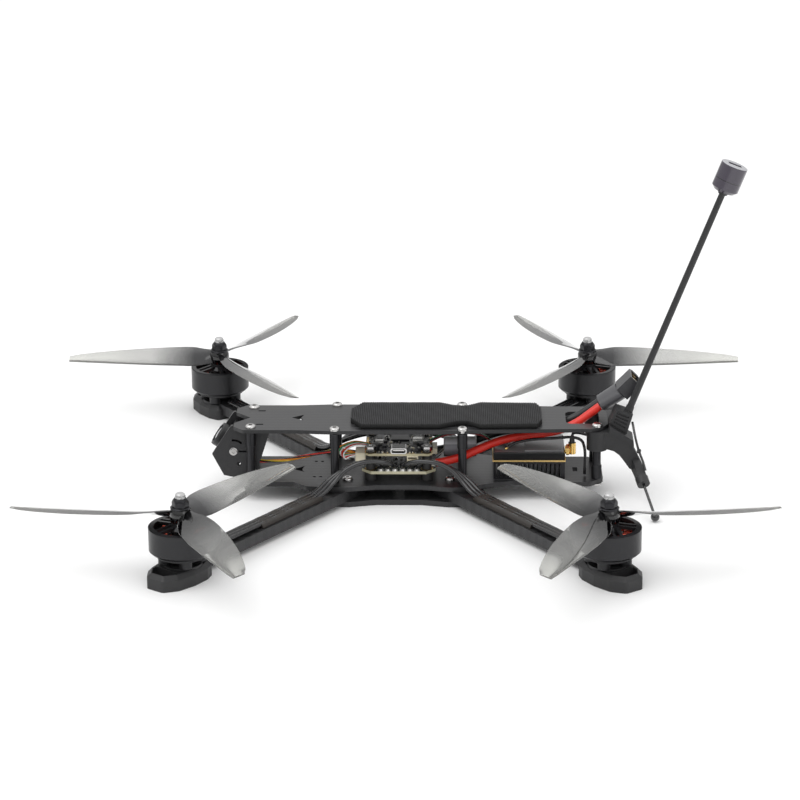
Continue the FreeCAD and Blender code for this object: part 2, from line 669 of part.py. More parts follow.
def grommets():
    solids = []
    for x, y in stack_places():
        solids.append(ring(3.3, 1.6, MID_TOP, ESC_LOW, x, y))
        solids.append(ring(2.6, 1.6, ESC_TOP, FC_LOW, x, y))
        solids.append(ring(2.5, 1.6, FC_TOP, NUT_LOW, x, y))
    return solids


def capacitor():
    case = Part.makeCylinder(5.6, 18.0, V(24.3, 0.3, 24.7), V(1, 0, 0))
    ends = [e for e in case.Edges if abs(e.tangentAt(e.FirstParameter).x) < 0.01 and e.Length > 10]
    case = case.makeFillet(0.7, ends)
    legs = [bar(V(19.4, y, 18.3), V(24.4, y * 0.8 - 0.4, 23.2), 0.45) for y in (-3.4, 2.0)]
    return [case] + [leg.cut(case) for leg in legs]


# Wires and leads

WIRE_PITCH = 2.5
WIRE_HEIGHT = 10.6
SLEEVE = (48.0, 98.5, 10.2, 3.3)


def motor_wire_routes(lane):
    """The route of one of an arm's three wires, at the rear right corner. Lane is -1, 0 or 1."""
    joint_x = JOINTS_X[1 - lane]
    turn = math.radians(ARM_ANGLE)
    along = V(math.cos(turn), math.sin(turn), 0)
    across = V(-math.sin(turn), math.cos(turn), 0)
    root = V(ARM_ROOT_X, 0, 0)

    def beside(distance, height):
        return root + along * distance + across * (lane * WIRE_PITCH) + UP * height

    points = [V(joint_x, JOINT_Y + 0.6, ESC_TOP + 2.3),
              V(joint_x + 1.2, JOINT_Y + 4.2 + lane * 0.9, 23.6 + lane * 0.4),
              V(17.5, 24.3 + lane * 2.35, 25.4 + lane * 0.8),
              V(28.0, 25.8 + lane * 2.35, 21.8 + lane * 0.6),
              V(36.0, 28.6, 15.6 + lane * 0.3) + across * (lane * WIRE_PITCH)]
    points += [beside(44.5, WIRE_HEIGHT + 0.1), beside(58.0, WIRE_HEIGHT)]
    points.append(beside(ARM_LENGTH - 14.2, WIRE_HEIGHT - 0.1))
    return points


def motor_wires():
    solids = []
    for sx in (-1, 1):
        for sy in (-1, 1):
            for lane in (-1, 0, 1):
                route = [(p.x, p.y, p.z) for p in motor_wire_routes(lane)]
                solids.append(to_corner(tube(f"motor wire {lane}", route, MOTOR_WIRE_R), sx, sy))
    return solids


def wire_sleeve():
    start, end, width, height = SLEEVE
    low = ARM_TOP + 0.05
    outer = box(start, end, -width / 2, width / 2, low, low + height)
    outer = outer.makeFillet(1.1, [e for e in outer.Edges if abs(e.tangentAt(e.FirstParameter).x) > 0.99])
    wall = 0.4
    inner = box(start - 1, end + 1, -width / 2 + wall, width / 2 - wall,
                low + wall * 0.6, low + height - wall)
    inner = inner.makeFillet(0.8, [e for e in inner.Edges if abs(e.tangentAt(e.FirstParameter).x) > 0.99])
    return on_arm(outer.cut(inner))


RED_ROUTE = [(20.1, -10.2, 19.0), (32, -9.8, 20.9), (44, -8.2, 26.6), (57, -6.2, 31.4), (72, -4.9, 33.3),
             (87, -4, 35.1), (97, -2.9, 39.5), (103.4, -1.4, 44.0), (109.4, -0.4, 48.3)]
BLACK_ROUTE = [(20.1, 10.2, 19.0), (32, 10.6, 20.8), (44, 9.6, 26.2), (57, 8.2, 31.1), (72, 7.1, 33.4),
               (87, 6.8, 35.1), (97, 6.8, 39.6), (103.4, 6.7, 44.0), (109.4, 6.7, 48.3)]
CAMERA_ROUTE = [(-78.6, -3.0, 17.4), (-66, -4.5, 17.6), (-54, -5.5, 20.4), (-41, -6, 23.6), (-30, -7, 25.6),
                (-23.7, -7.5, 24.2)]


def camera_wires():
    solids = []
    for i, (dy, dz) in enumerate(((-2.4, 0.3), (-1.2, -0.6), (0.0, 0.4), (1.2, -0.3), (2.4, 0.5))):
        route = [(x, y + dy * spread, z + dz * lift) for (x, y, z), spread, lift in
                 zip(CAMERA_ROUTE, (0.55, 0.5, 0.55, 0.6, 0.9, 1.0), (1, 1.6, -1.4, 1.8, 2.2, 0.6))]
        solids.append(tube(f"camera wire {i}", route, CAMERA_WIRE_R))
    return solids


CONNECTOR_ROOT = V(120.8, 3.2, 56.1)
CONNECTOR_RISE = 45.7
SHEATH_START = V(110.0, 3.2, 49.0)


def along_connector(shape):
    """Moves a piece made along +X, with its root at the origin, to the power connector's place."""
    return moved(turned(shape, -CONNECTOR_RISE, axis=V(0, 1, 0)), *CONNECTOR_ROOT)


def power_connector():
    """A housing with one pair of corners cut, hollow at its mouth about the two contacts."""
    half = 8.0
    outline = [(-half, -4.05), (half - 2.6, -4.05), (half, -1.8),
               (half, 1.8), (half - 2.6, 4.05), (-half, 4.05)]
    corners = [V(0.3, y, z) for y, z in outline]
    shell = Part.Face(Part.makePolygon(corners + corners[:1])).extrude(V(10.7, 0, 0))
    mouth = box(4.6, 12, -6.7, 5.6, -2.9, 2.9)
    return along_connector(shell.cut(mouth))


def connector_pins():
    return [along_connector(Part.makeCylinder(1.75, 5.6, V(4.6, y, 0), V(1, 0, 0))) for y in (-3.6, 3.6)]


def connector_sheath():
    """Shrink tube about the two leads, from an oval at the leads to the connector's own width."""
    sections = []
    for centre, rise, half_y, half_z in ((SHEATH_START, 34.0, 7.4, 4.1),
                                         (V(115.4, 3.2, 52.4), 38.0, 7.9, 4.4),
                                         (CONNECTOR_ROOT, CONNECTOR_RISE, 8.3, 4.4)):
        ellipse = Part.Ellipse(V(0, half_y, 0), V(0, 0, half_z), V(0, 0, 0)).toShape()
        sections.append(moved(turned(Part.Wire(ellipse), -rise, axis=V(0, 1, 0)), *centre))
    return Part.makeLoft(sections, True)


# Video transmitter

def vtx_body():
    x0, x1, y0, y1 = VTX
    base = box(x0 - 0.6, x1 + 0.4, y0 - 0.5, y1 + 0.5, VTX_SPLIT - 0.8, VTX_SPLIT)
    case = box(x0, x1, y0, y1, VTX_SPLIT, VTX_TOP)
    case = case.makeChamfer(0.7, [e for e in case.Edges if e.BoundBox.ZMin > VTX_TOP - 0.01])
    cover = box(x0 + 17, x1 - 1.4, y0 + 2, y1 - 2, VTX_TOP, VTX_TOP + 0.8)
    return join([base, case, cover])


def vtx_heatsink():
    x0, x1, y0, y1 = VTX
    block = box(x0, x1, y0, y1, MID_TOP, VTX_SPLIT - 0.8)
    pitch = 2.4
    count = int((x1 - x0 - 2) / pitch)
    grooves = [box(x0 + 1.2 + pitch * i, x0 + 2.5 + pitch * i, y0 - 1, y1 + 1, MID_TOP + 0.8, VTX_FIN_TOP)
               for i in range(count)]
    return block.cut(grooves)


SOCKET_Y = -4.0
SOCKET_Z = 24.4
SOCKET_X = 94.4
COAX_R = 0.8
COAX_ROUTE = [(94.4, -4.0, 32.4), (94.9, -4.1, 34.2), (98.0, -5.4, 34.7), (103.6, -7.6, 34.0),
              (109.0, -8.2, 33.6),
              (113.6, -8.2, 33.6)]
RECEIVER_LEAD_ROUTE = [(58.0, -12.0, 27.8), (63.0, -11.6, 31.2), (72.0, -11.1, 32.9), (84.0, -10.6, 33.4),
                       (94.0, -10.2, 34.1), (99.6, -10.0, 32.4), (101.2, -9.9, 27.0), (101.4, -9.8, 20.0),
                       (101.2, -9.6, 12.4)]


def vtx_antenna_lead():
    """The gold socket, its right-angle plug, the plug's black boot and the coax to the tail mount."""
    socket = Part.makeCylinder(2.3, 2.4, V(90.5, SOCKET_Y, SOCKET_Z), V(1, 0, 0))
    collar = hexagon(5.6, 0, 1.6)
    collar = moved(turned(collar, 90, axis=V(0, 1, 0)), 91.2, SOCKET_Y, SOCKET_Z)
    elbow = rod(2.1, SOCKET_Z - 2.1, 28.6, SOCKET_X, SOCKET_Y)
    arm_piece = Part.makeCylinder(1.7, 2.6, V(92.4, SOCKET_Y, SOCKET_Z), V(1, 0, 0))
    gold = join([socket, collar, elbow, arm_piece])
    boot = Part.makeCone(1.6, 1.1, 3.7, V(SOCKET_X, SOCKET_Y, 28.6))
    return [gold, boot, tube("coax", COAX_ROUTE, COAX_R), tube("receiver lead", RECEIVER_LEAD_ROUTE, COAX_R)]


# Tail mount and antennas

RING_CENTRE = V(131.5, -30.0, 15.8)
BALL = V(137.3, -49.3, 2.8)
# The tail mount's near wall in X and Z, and the sloping seat on top of it
MOUNT_WALL = [(103.6, 39.3), (113.7, 39.3), (126.6, 31.4), (129.2, 26.5), (131.3, 21.2), (127.6, 17.2),
              (125.0, 18.6), (122.2, 22.6), (119.4, 26.3), (116.5, 28.5), (113.3, 29.5), (103.6, 30.4)]
MOUNT_SEAT = [(113.8, 43.2), (127.0, 34.7), (127.3, 31.2), (113.8, 39.2)]


def section_box(centre, half_u, half_w, direction):
    """A rectangle square to a direction, wide across it and thick in the upright plane."""
    direction.normalize()
    across = direction.cross(UP)
    across.normalize()
    other = across.cross(direction)
    signs = ((-1, -1), (1, -1), (1, 1), (-1, 1))
    corners = [centre + across * (a * half_u) + other * (b * half_w) for a, b in signs]
    return Part.makePolygon(corners + corners[:1])


def antenna_mount():
    """Collars on the tail standoffs, a bar behind the top plate, a sloping seat and the receiver arm."""
    x, y = STANDOFFS[3]
    collars = [rod(5.6, 28.6, TOP_LOW - 0.1, x, side * y) for side in (-1, 1)]
    tail_bar = soften(box(x + 3.4, 117.6, -15.0, 18.6, 31.0, TOP_LOW - 0.1), 1.5)
    wall = side_prism(MOUNT_WALL, -18.0, -13.6)
    seat = side_prism(MOUNT_SEAT, -18.6, -4.6)
    web = side_prism([(113.8, 31.2), (113.8, 40.0), (125.8, 32.6), (124.4, 29.4), (118.0, 30.2)], -14.0, -6.0)
    arm_sections = [section_box(V(127.8, -15.0, 21.6), 2.2, 3.4, V(0.15, -1, -0.15)),
                    section_box(V(129.4, -21.0, 19.4), 2.2, 3.2, V(0.25, -1, -0.35)),
                    section_box(V(131.0, -27.8, 16.6), 2.4, 2.6, V(0.2, -1, -0.5))]
    receiver_arm = Part.makeLoft(arm_sections, True)
    out = BALL - RING_CENTRE
    out.normalize()
    eye = bar(RING_CENTRE - out * 2.2, RING_CENTRE + out * 2.2, 3.5)
    body = join([tail_bar, wall, seat, web, receiver_arm, eye] + collars)
    tools = [rod(STANDOFF_GRIP_R + FIT_GAP, 20, 45, x, side * y) for side in (-1, 1)]
    tools.append(bar(RING_CENTRE - out * 9, RING_CENTRE + out * 9, ROD_R + FIT_GAP))
    tools.append(bar(V(103.0, -8.0, 33.8), V(119.0, -8.2, 33.6), COAX_R + 0.7))
    return body.cut(tools)


ROD_R = 0.75


def leaning(shape):
    """Leans a piece made upright at the origin to the antenna's line."""
    return moved(turned(shape, ANTENNA_LEAN, axis=V(0, 1, 0)), *ANTENNA_FOOT)


BASE_SIDE = [(113.9, 43.4), (123.4, 37.3), (126.6, 48.4), (117.4, 51.6)]
BASE_Y = (-14.8, -5.2)
BASE_GROOVES = [0.2, 0.38, 0.56, 0.74]


def antenna_base():
    """A tapered block on the seat, grooved on both faces, with a short neck for the rod."""
    y0, y1 = BASE_Y
    block = side_prism(BASE_SIDE, y0, y1)
    (ax, az), (bx, bz), (cx, cz), (dx, dz) = BASE_SIDE
    grooves = []
    for t in BASE_GROOVES:
        lower = [(ax + (dx - ax) * t, az + (dz - az) * t), (bx + (cx - bx) * t, bz + (cz - bz) * t)]
        left = (lower[0][0] * 0.84 + lower[1][0] * 0.16, lower[0][1] * 0.84 + lower[1][1] * 0.16)
        right = (lower[0][0] * 0.16 + lower[1][0] * 0.84, lower[0][1] * 0.16 + lower[1][1] * 0.84)
        band = [left, right, (right[0] + 0.3, right[1] + 1.0), (left[0] + 0.3, left[1] + 1.0)]
        grooves += [side_prism(band, y0 - 1, y0 + 0.7), side_prism(band, y1 - 0.7, y1 + 1)]
    neck = leaning(Part.makeCone(2.5, 2.2, 5.5, V(0, 0, -2.0)))
    bore = leaning(rod(STALK_R, -1.0, 9))
    return join([block, neck]).cut(grooves + [bore])


STALK_R = 1.9
ANTENNA_HEAD_R = 7.3
HEAD_LENGTH = 15.4


def antenna_stalk():
    stalk = Part.makeCone(STALK_R, 1.7, ANTENNA_LENGTH + 0.9, V(0, 0, -0.9))
    collar = Part.makeCone(2.4, 3.3, 1.6, V(0, 0, ANTENNA_LENGTH - 1.6))
    return leaning(join([stalk, collar]))


def antenna_head():
    low = ANTENNA_LENGTH + 0.2
    head = rod(ANTENNA_HEAD_R, low, low + HEAD_LENGTH)
    low_rim = [e for e in head.Edges if e.BoundBox.ZMax < low + 0.01]
    head = head.makeChamfer(1.7, low_rim)
    top_rim = [e for e in head.Edges if e.BoundBox.ZMin > low + HEAD_LENGTH - 0.01]
    head = head.makeFillet(0.7, top_rim)
    return leaning(head.cut(box(-3.6, 3.6, -2.0, 2.0, low + HEAD_LENGTH - 1.4, low + HEAD_LENGTH + 1)))


RECEIVER_ROUTE = [(126.5, -12.5, 43.4), (127.9, -19.8, 36.4), (129.8, -21.2, 29.6), (131.9, -23.4, 24.8),
                  (133.2, -26.4, 20.6)]


def receiver_antenna():
    out = BALL - RING_CENTRE
    out.normalize()
    antenna = join([bar(RING_CENTRE - out * 4.4, BALL, ROD_R), Part.makeSphere(2.4, BALL)])
    coax = tube("receiver coax", RECEIVER_ROUTE, 0.65)
    return [antenna, coax]


def boot_button():
    return [rod(0.7, FC_TOP + 0.75, FC_TOP + 1.5, 10.9, -11.6)]


def boot_switch_case():
    frame = box(9.4, 12.4, -13.1, -10.1, FC_TOP, FC_TOP + 1.0)
    return frame.cut(rod(0.9, FC_TOP + 0.4, FC_TOP + 3, 10.9, -11.6))


def main():
    write("bottom_plate", bottom_plate())
    write("mid_plate", mid_plate())
    write("top_plate", top_plate())
    write("battery_pad", battery_pad())
    write("standoffs", *[standoff(x, y * side) for x, y in STANDOFFS for side in (-1, 1)])
    write("top_screws", *[button_screw(x, y * side, TOP_TOP, 9.0) for x, y in STANDOFFS for side in (-1, 1)])
    write("frame_bolts", *frame_bolts())

    right_rear_arm = arm()
    right_rear_foot = foot()
    base = [on_arm(moved(piece, ARM_LENGTH)) for piece in motor_base()]
    coils = [on_arm(moved(piece, ARM_LENGTH)) for piece in windings()]
    bases = []
    all_coils = []
    screws = []
    sleeves = []
    for corner, (sx, sy, start, spin) in PROPS.items():
        x = MOTOR_X * sx
        y = MOTOR_Y * sy
        write(f"arm_{corner}", to_corner(right_rear_arm, sx, sy))
        write(f"foot_{corner}", to_corner(right_rear_foot, sx, sy))
        write(f"rotor_{corner}", *[moved(piece, x, y) for piece in rotor()])
        write(f"propeller_{corner}", moved(propeller(start, spin), x, y))
        write(f"prop_nut_{corner}", moved(prop_nut(), x, y))
        bases += [to_corner(piece, sx, sy) for piece in base]
        all_coils += [to_corner(piece, sx, sy) for piece in coils]
        screws += [to_corner(piece, sx, sy) for piece in motor_screws(MOTOR_X, MOTOR_Y)]
        sleeves.append(to_corner(wire_sleeve(), sx, sy))
    write("motor_bases", *bases)
    write("motor_windings", *all_coils)
    write("motor_screws", *screws)
    write("wire_sleeves", *sleeves)
    write("motor_wires", *motor_wires())

    write("camera_plate_left", camera_plate(-1))
    write("camera_plate_right", camera_plate(1))
    write("camera_body", camera_body())
    write("camera_lens", *camera_lens())
    write("camera_wires", *camera_wires())

    write("speed_controller", board(20.0, 20.0, ESC_LOW, ESC_TOP, 5.0))
    write("solder_joints", *solder_joints())
    write("flight_controller", board(18.2, 18.2, FC_LOW, FC_TOP, 2.0))
    write("board_chips", *fc_parts(), boot_switch_case())
    write("boot_button", *boot_button())
    write("usb_port", usb_port())
    write("wire_plugs", *wire_plugs())
    write("stack_screws", *stack_screws())
    write("stack_grommets", *grommets())
    write("capacitor", *capacitor())

    write("battery_lead_red", tube("red lead", RED_ROUTE, LEAD_R))
    write("battery_lead_black", tube("black lead", BLACK_ROUTE, LEAD_R))
    write("power_connector", power_connector())
    write("connector_pins", *connector_pins())
    write("connector_sheath", connector_sheath())

    write("vtx_body", vtx_body())
    write("vtx_heatsink", vtx_heatsink())
    write("vtx_antenna_lead", *vtx_antenna_lead())
    write("antenna_mount", antenna_mount())
    write("antenna_base", antenna_base())
    write("antenna_stalk", antenna_stalk())
    write("antenna_head", antenna_head())
    write("receiver_antenna", *receiver_antenna())


main()
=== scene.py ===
"""Looks of a seven-inch racing quadcopter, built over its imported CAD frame.

The nose points to -X, the tail to +X, -Y is the left side and +Z is up. Helpers and materials come
first, then the pieces from the plates outwards, the power leads, and last the lights and camera.
Sizes are given in millimetres and turned into metres by MM.
"""

import math
import random

import bmesh
import bpy
from mathutils import Matrix, Vector


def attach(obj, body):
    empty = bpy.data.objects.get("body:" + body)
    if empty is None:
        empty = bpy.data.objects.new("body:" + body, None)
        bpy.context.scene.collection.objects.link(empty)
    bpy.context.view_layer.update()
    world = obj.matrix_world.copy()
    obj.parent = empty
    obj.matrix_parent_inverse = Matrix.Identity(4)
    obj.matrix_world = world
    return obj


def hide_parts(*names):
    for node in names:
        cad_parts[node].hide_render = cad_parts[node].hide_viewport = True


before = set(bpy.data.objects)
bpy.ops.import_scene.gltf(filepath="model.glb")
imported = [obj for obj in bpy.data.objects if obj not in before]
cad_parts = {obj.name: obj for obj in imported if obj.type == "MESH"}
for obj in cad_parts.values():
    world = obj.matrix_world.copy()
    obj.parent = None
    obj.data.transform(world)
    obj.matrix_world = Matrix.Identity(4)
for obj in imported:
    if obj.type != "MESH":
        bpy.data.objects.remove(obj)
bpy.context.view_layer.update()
random.seed(7)

MM = 0.001
FRAME_BODY = "airframe"
CORNERS = {"front_left": (-1, -1), "rear_left": (1, -1), "front_right": (-1, 1), "rear_right": (1, 1)}
MOTOR_X = 108.2
MOTOR_Y = 127.3


# ---------------------------------------------------------------- mesh helpers

def piece(name, body, material, bm, location=(0, 0, 0), sharp=35):
    """Turns a bmesh in millimetres into a piece that rides on a body."""
    bmesh.ops.recalc_face_normals(bm, faces=bm.faces)
    bmesh.ops.scale(bm, vec=(MM, MM, MM), verts=bm.verts)
    mesh = bpy.data.meshes.new(name)
    bm.to_mesh(mesh)
    bm.free()
    for face in mesh.polygons:
        face.use_smooth = True
    mesh.set_sharp_from_angle(angle=math.radians(sharp))
    mesh.materials.append(material)
    obj = bpy.data.objects.new(name, mesh)
    bpy.context.collection.objects.link(obj)
    obj.location = Vector(location) * MM
    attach(obj, body)
    return obj


def skin(bm, rings, caps=True, loop=False):
    """Quads between closed rings of points, with both ends capped or the last ring joined to the first."""
    rows = [[bm.verts.new(p) for p in ring] for ring in rings]
    pairs = list(zip(rows, rows[1:])) + ([(rows[-1], rows[0])] if loop else [])
    count = len(rows[0])
    for a, b in pairs:
        for i in range(count):
            j = (i + 1) % count
            bm.faces.new((a[i], a[j], b[j], b[i]))
    if caps and not loop:
        bm.faces.new(rows[0])
        bm.faces.new(rows[-1])


def lathe(bm, profile, count=40, place=Matrix(), loop=False):
    """Turns a profile of (radius, height) about Z, then puts it in place."""
    rings = []
    for radius, z in profile:
        rings.append([place @ Vector((radius * math.cos(t), radius * math.sin(t), z))
                      for t in (2 * math.pi * i / count for i in range(count))])
    skin(bm, rings, loop=loop)


def block(bm, x0, x1, y0, y1, z0, z1, bevel=0.0, place=Matrix()):
    made = bmesh.ops.create_cube(bm, size=1.0)["verts"]
    for v in made:
        v.co = Vector(((x0 + x1) / 2 + v.co.x * (x1 - x0), (y0 + y1) / 2 + v.co.y * (y1 - y0),
                       (z0 + z1) / 2 + v.co.z * (z1 - z0)))
    if bevel:
        edges = list({e for v in made for e in v.link_edges})
        result = bmesh.ops.bevel(bm, geom=edges, offset=bevel, segments=2, affect="EDGES", profile=0.5)
        made = result["verts"]
    for v in made:
        v.co = place @ v.co


def wire(name, body, material, points, radius, sides=3):
    """A round wire whose smooth line follows the points, given in millimetres."""
    curve = bpy.data.curves.new(name, "CURVE")
    curve.dimensions = "3D"
    curve.bevel_depth = radius * MM
    curve.bevel_resolution = sides
    curve.use_fill_caps = True
    curve.resolution_u = 10
    spline = curve.splines.new("NURBS")
    spline.points.add(len(points) - 1)
    for point, p in zip(spline.points, points):
        point.co = (p[0] * MM, p[1] * MM, p[2] * MM, 1)
    spline.use_endpoint_u = True
    spline.order_u = 3
    curve.materials.append(material)
    obj = bpy.data.objects.new(name, curve)
    bpy.context.collection.objects.link(obj)
    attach(obj, body)
    return obj


def blend_table(rows, at):
    """Smooth values between the rows of a table whose first column is the distance."""
    for i in range(len(rows) - 1):
        if at <= rows[i + 1][0] or i == len(rows) - 2:
            break
    p0 = rows[max(i - 1, 0)]
    p1 = rows[i]
    p2 = rows[i + 1]
    p3 = rows[min(i + 2, len(rows) - 1)]
    t = (at - p1[0]) / (p2[0] - p1[0])
    values = []
    for a, b, c, d in zip(p0[1:], p1[1:], p2[1:], p3[1:]):
        values.append(0.5 * (2 * b + (c - a) * t + (2 * a - 5 * b + 4 * c - d) * t ** 2
                             + (3 * b - a - 3 * c + d) * t ** 3))
    return values


# ---------------------------------------------------------------- materials

class Look:
    """A Principled material with short calls for the nodes that drive it."""

    def __init__(self, name, color=(0.5, 0.5, 0.5), roughness=0.5, **settings):
        self.material = bpy.data.materials.new(name)
        self.material.use_nodes = True
        self.tree = self.material.node_tree
        self.bsdf = self.tree.nodes["Principled BSDF"]
        self.bsdf.inputs["Base Color"].default_value = (*color, 1)
        self.bsdf.inputs["Roughness"].default_value = roughness
        for key, value in settings.items():
            self.bsdf.inputs[key.replace("_", " ")].default_value = value
        self.coords = self.tree.nodes.new("ShaderNodeTexCoord").outputs["Object"]
        self.axes = None

    def axis(self, index):
        if self.axes is None:
            node = self.tree.nodes.new("ShaderNodeSeparateXYZ")
            self.tree.links.new(self.coords, node.inputs[0])
            self.axes = node.outputs
        return self.axes[index]

    def math(self, operation, a, b=0.0, c=0.0):
        node = self.tree.nodes.new("ShaderNodeMath")
        node.operation = operation
        for socket, value in zip(node.inputs, (a, b, c)):
            if isinstance(value, (int, float)):
                socket.default_value = value
            else:
                self.tree.links.new(value, socket)
        return node.outputs[0]

    def noise(self, size_mm, detail=2.0):
        node = self.tree.nodes.new("ShaderNodeTexNoise")
        node.inputs["Scale"].default_value = 1000 / size_mm
        node.inputs["Detail"].default_value = detail
        self.tree.links.new(self.coords, node.inputs["Vector"])
        return node.outputs["Fac"]

    def speckle(self, size_mm):
        node = self.tree.nodes.new("ShaderNodeTexVoronoi")
        node.inputs["Scale"].default_value = 1000 / size_mm
        self.tree.links.new(self.coords, node.inputs["Vector"])
        return node.outputs["Distance"]

    def lines(self, index, pitch_mm):
        """Smooth waves from 0 to 1 along an axis."""
        turns = self.math("MULTIPLY", self.axis(index), 2000 * math.pi / pitch_mm)
        return self.math("MULTIPLY_ADD", self.math("SINE", turns), 0.5, 0.5)

    def above(self, index, limit_mm):
        return self.math("GREATER_THAN", self.axis(index), limit_mm * MM)

    def mix(self, factor, a, b):
        node = self.tree.nodes.new("ShaderNodeMix")
        node.data_type = "RGBA"
        ends = [s for s in node.inputs if s.type == "RGBA"]
        if isinstance(factor, (int, float)):
            node.inputs[0].default_value = factor
        else:
            self.tree.links.new(factor, node.inputs[0])
        for socket, value in zip(ends, (a, b)):
            if isinstance(value, tuple):
                socket.default_value = (*value, 1)
            else:
                self.tree.links.new(value, socket)
        return [s for s in node.outputs if s.type == "RGBA"][0]

    def color(self, socket):
        self.tree.links.new(socket, self.bsdf.inputs["Base Color"])
        return self

    def spread(self, key, factor, low, high):
        """Drives a number on the shader between two values."""
        value = self.math("MULTIPLY_ADD", factor, high - low, low)
        self.tree.links.new(value, self.bsdf.inputs[key])
        return self

    def bump(self, height, depth_mm, strength=1.0):
        node = self.tree.nodes.new("ShaderNodeBump")
        node.inputs["Strength"].default_value = strength
        node.inputs["Distance"].default_value = depth_mm * MM
        self.tree.links.new(height, node.inputs["Height"])
        self.tree.links.new(node.outputs[0], self.bsdf.inputs["Normal"])
        return self

    def steep(self, limit):
        """1 on faces that stand upright, 0 on level ones."""
        geometry = self.tree.nodes.new("ShaderNodeNewGeometry")
        split = self.tree.nodes.new("ShaderNodeSeparateXYZ")
        self.tree.links.new(geometry.outputs["Normal"], split.inputs[0])
        return self.math("LESS_THAN", self.math("ABSOLUTE", split.outputs[2]), limit)


def carbon(name, tow_mm=1.5, dark=0.008, light=0.03):
    """Diagonal twill under a satin finish, its light tows a painted sheen, with thin layers showing on cut
    edges.
    """
    look = Look(name, roughness=0.4)
    scale = 1000 / (tow_mm * math.sqrt(2))
    u = look.math("MULTIPLY", look.math("ADD", look.axis(0), look.axis(1)), scale)
    v = look.math("MULTIPLY", look.math("SUBTRACT", look.axis(0), look.axis(1)), scale)
    step = look.math("SUBTRACT", look.math("FLOOR", u), look.math("FLOOR", v))
    over = look.math("LESS_THAN", look.math("FLOORED_MODULO", step, 4.0), 2.0)
    across_u = look.math("PINGPONG", u, 0.5)
    across_v = look.math("PINGPONG", v, 0.5)
    height = look.math("ADD", look.math("MULTIPLY", over, across_u),
                       look.math("MULTIPLY", look.math("SUBTRACT", 1.0, over), across_v))
    # The twill pattern is real; the lighter tows are painted sheen standing in for the way the fibres catch
    # the light.
    weave_and_sheen = look.mix(over, (dark, dark, dark * 1.06), (light, light, light * 1.06))
    weave_and_sheen = look.mix(look.math("MULTIPLY", look.noise(6.0), 0.25), weave_and_sheen, (0.05, 0.05, 0.052))
    layer = look.math("GREATER_THAN", look.math("FRACT", look.math("MULTIPLY", look.axis(2), 4000)), 0.62)
    edge = look.mix(layer, (0.012, 0.012, 0.013), (0.032, 0.032, 0.034))
    steep = look.steep(0.6)
    look.color(look.mix(steep, weave_and_sheen, edge))
    rough = look.math("ADD", look.math("MULTIPLY", over, 0.1), look.math("MULTIPLY", steep, 0.12))
    look.spread("Roughness", rough, 0.3, 1.3)
    look.bump(height, 0.05, 0.5)
    return look.material


def metal(name, color, roughness, rings_mm=0.0, metallic=1.0):
    look = Look(name, color, roughness, Metallic=metallic)
    tint = tuple(c * 0.75 for c in color)
    look.color(look.mix(look.noise(1.6), tint, color))
    look.spread("Roughness", look.noise(0.5), roughness * 0.8, roughness * 1.25)
    look.bump(look.lines(2, rings_mm) if rings_mm else look.noise(0.3), 0.01, 0.35)
    return look.material


def plastic(name, color, roughness, grain_mm=0.25, depth=0.012, layers_mm=0.0, **settings):
    look = Look(name, color, roughness, **settings)
    pale = tuple(min(1.0, c * 1.35 + 0.004) for c in color)
    look.color(look.mix(look.math("MULTIPLY", look.noise(2.5), 0.6), color, pale))
    look.spread("Roughness", look.noise(0.8), roughness * 0.85, roughness * 1.15)
    grain = look.noise(grain_mm)
    if layers_mm:
        grain = look.math("ADD", look.math("MULTIPLY", look.lines(2, layers_mm), 0.8), grain)
    look.bump(grain, depth, 0.6)
    return look.material


def by_height(name, bands, roughness=0.35, metallic=0.0):
    """A material in level bands: a first colour, then (height in mm, colour) going up."""
    look = Look(name, roughness=roughness, Metallic=metallic)
    color = bands[0]
    for limit, above in bands[1:]:
        color = look.mix(look.above(2, limit), color, above)
    look.color(color)
    look.spread("Roughness", look.noise(0.8), roughness * 0.8, roughness * 1.2)
    look.bump(look.noise(0.3), 0.01, 0.4)
    return look


def smoke_look():
    """Clear grey plastic that darkens at the hub, the roots and wherever it is seen along the skin."""
    look = Look("smoke", roughness=0.05, IOR=1.48, Coat_Weight=0.4)
    look.bsdf.inputs["Transmission Weight"].default_value = 0.9
    x2 = look.math("POWER", look.axis(0), 2.0)
    y2 = look.math("POWER", look.axis(1), 2.0)
    radius = look.math("SQRT", look.math("ADD", x2, y2))
    root = look.math("SUBTRACT", 1.0, look.math("MULTIPLY", radius, 1000 / 40.0))
    root = look.math("MAXIMUM", root, 0.0)
    tip = look.math("MINIMUM", look.math("MULTIPLY", radius, 1000 / 80.0), 1.0)
    edge = look.tree.nodes.new("ShaderNodeLayerWeight")
    edge.inputs["Blend"].default_value = 0.35
    skim = look.math("POWER", edge.outputs["Facing"], 2.2)
    clear = look.mix(tip, (0.34, 0.34, 0.345), (0.84, 0.84, 0.79))
    clear = look.mix(look.math("MULTIPLY", look.noise(14.0), 0.35), clear, (0.3, 0.3, 0.3))
    clear = look.mix(look.math("MULTIPLY", skim, 0.95), clear, (0.02, 0.02, 0.022))
    dark_root = look.math("MINIMUM", look.math("MULTIPLY", root, 1.6), 1.0)
    look.color(look.mix(dark_root, clear, (0.012, 0.012, 0.014)))
    look.bump(look.noise(9.0), 0.1, 0.4)
    return look.material


def board_look(name, top, edge):
    look = Look(name, roughness=0.32)
    tracks = look.math("GREATER_THAN", look.noise(1.7, 0.0), 0.56)
    face = look.mix(tracks, top, tuple(c * 1.9 + 0.01 for c in top))
    dots = look.math("LESS_THAN", look.speckle(1.25), 0.2)
    face = look.mix(dots, face, (0.62, 0.6, 0.5))
    look.color(look.mix(look.steep(0.6), face, edge))
    look.bump(tracks, 0.03, 0.4)
    return look.material


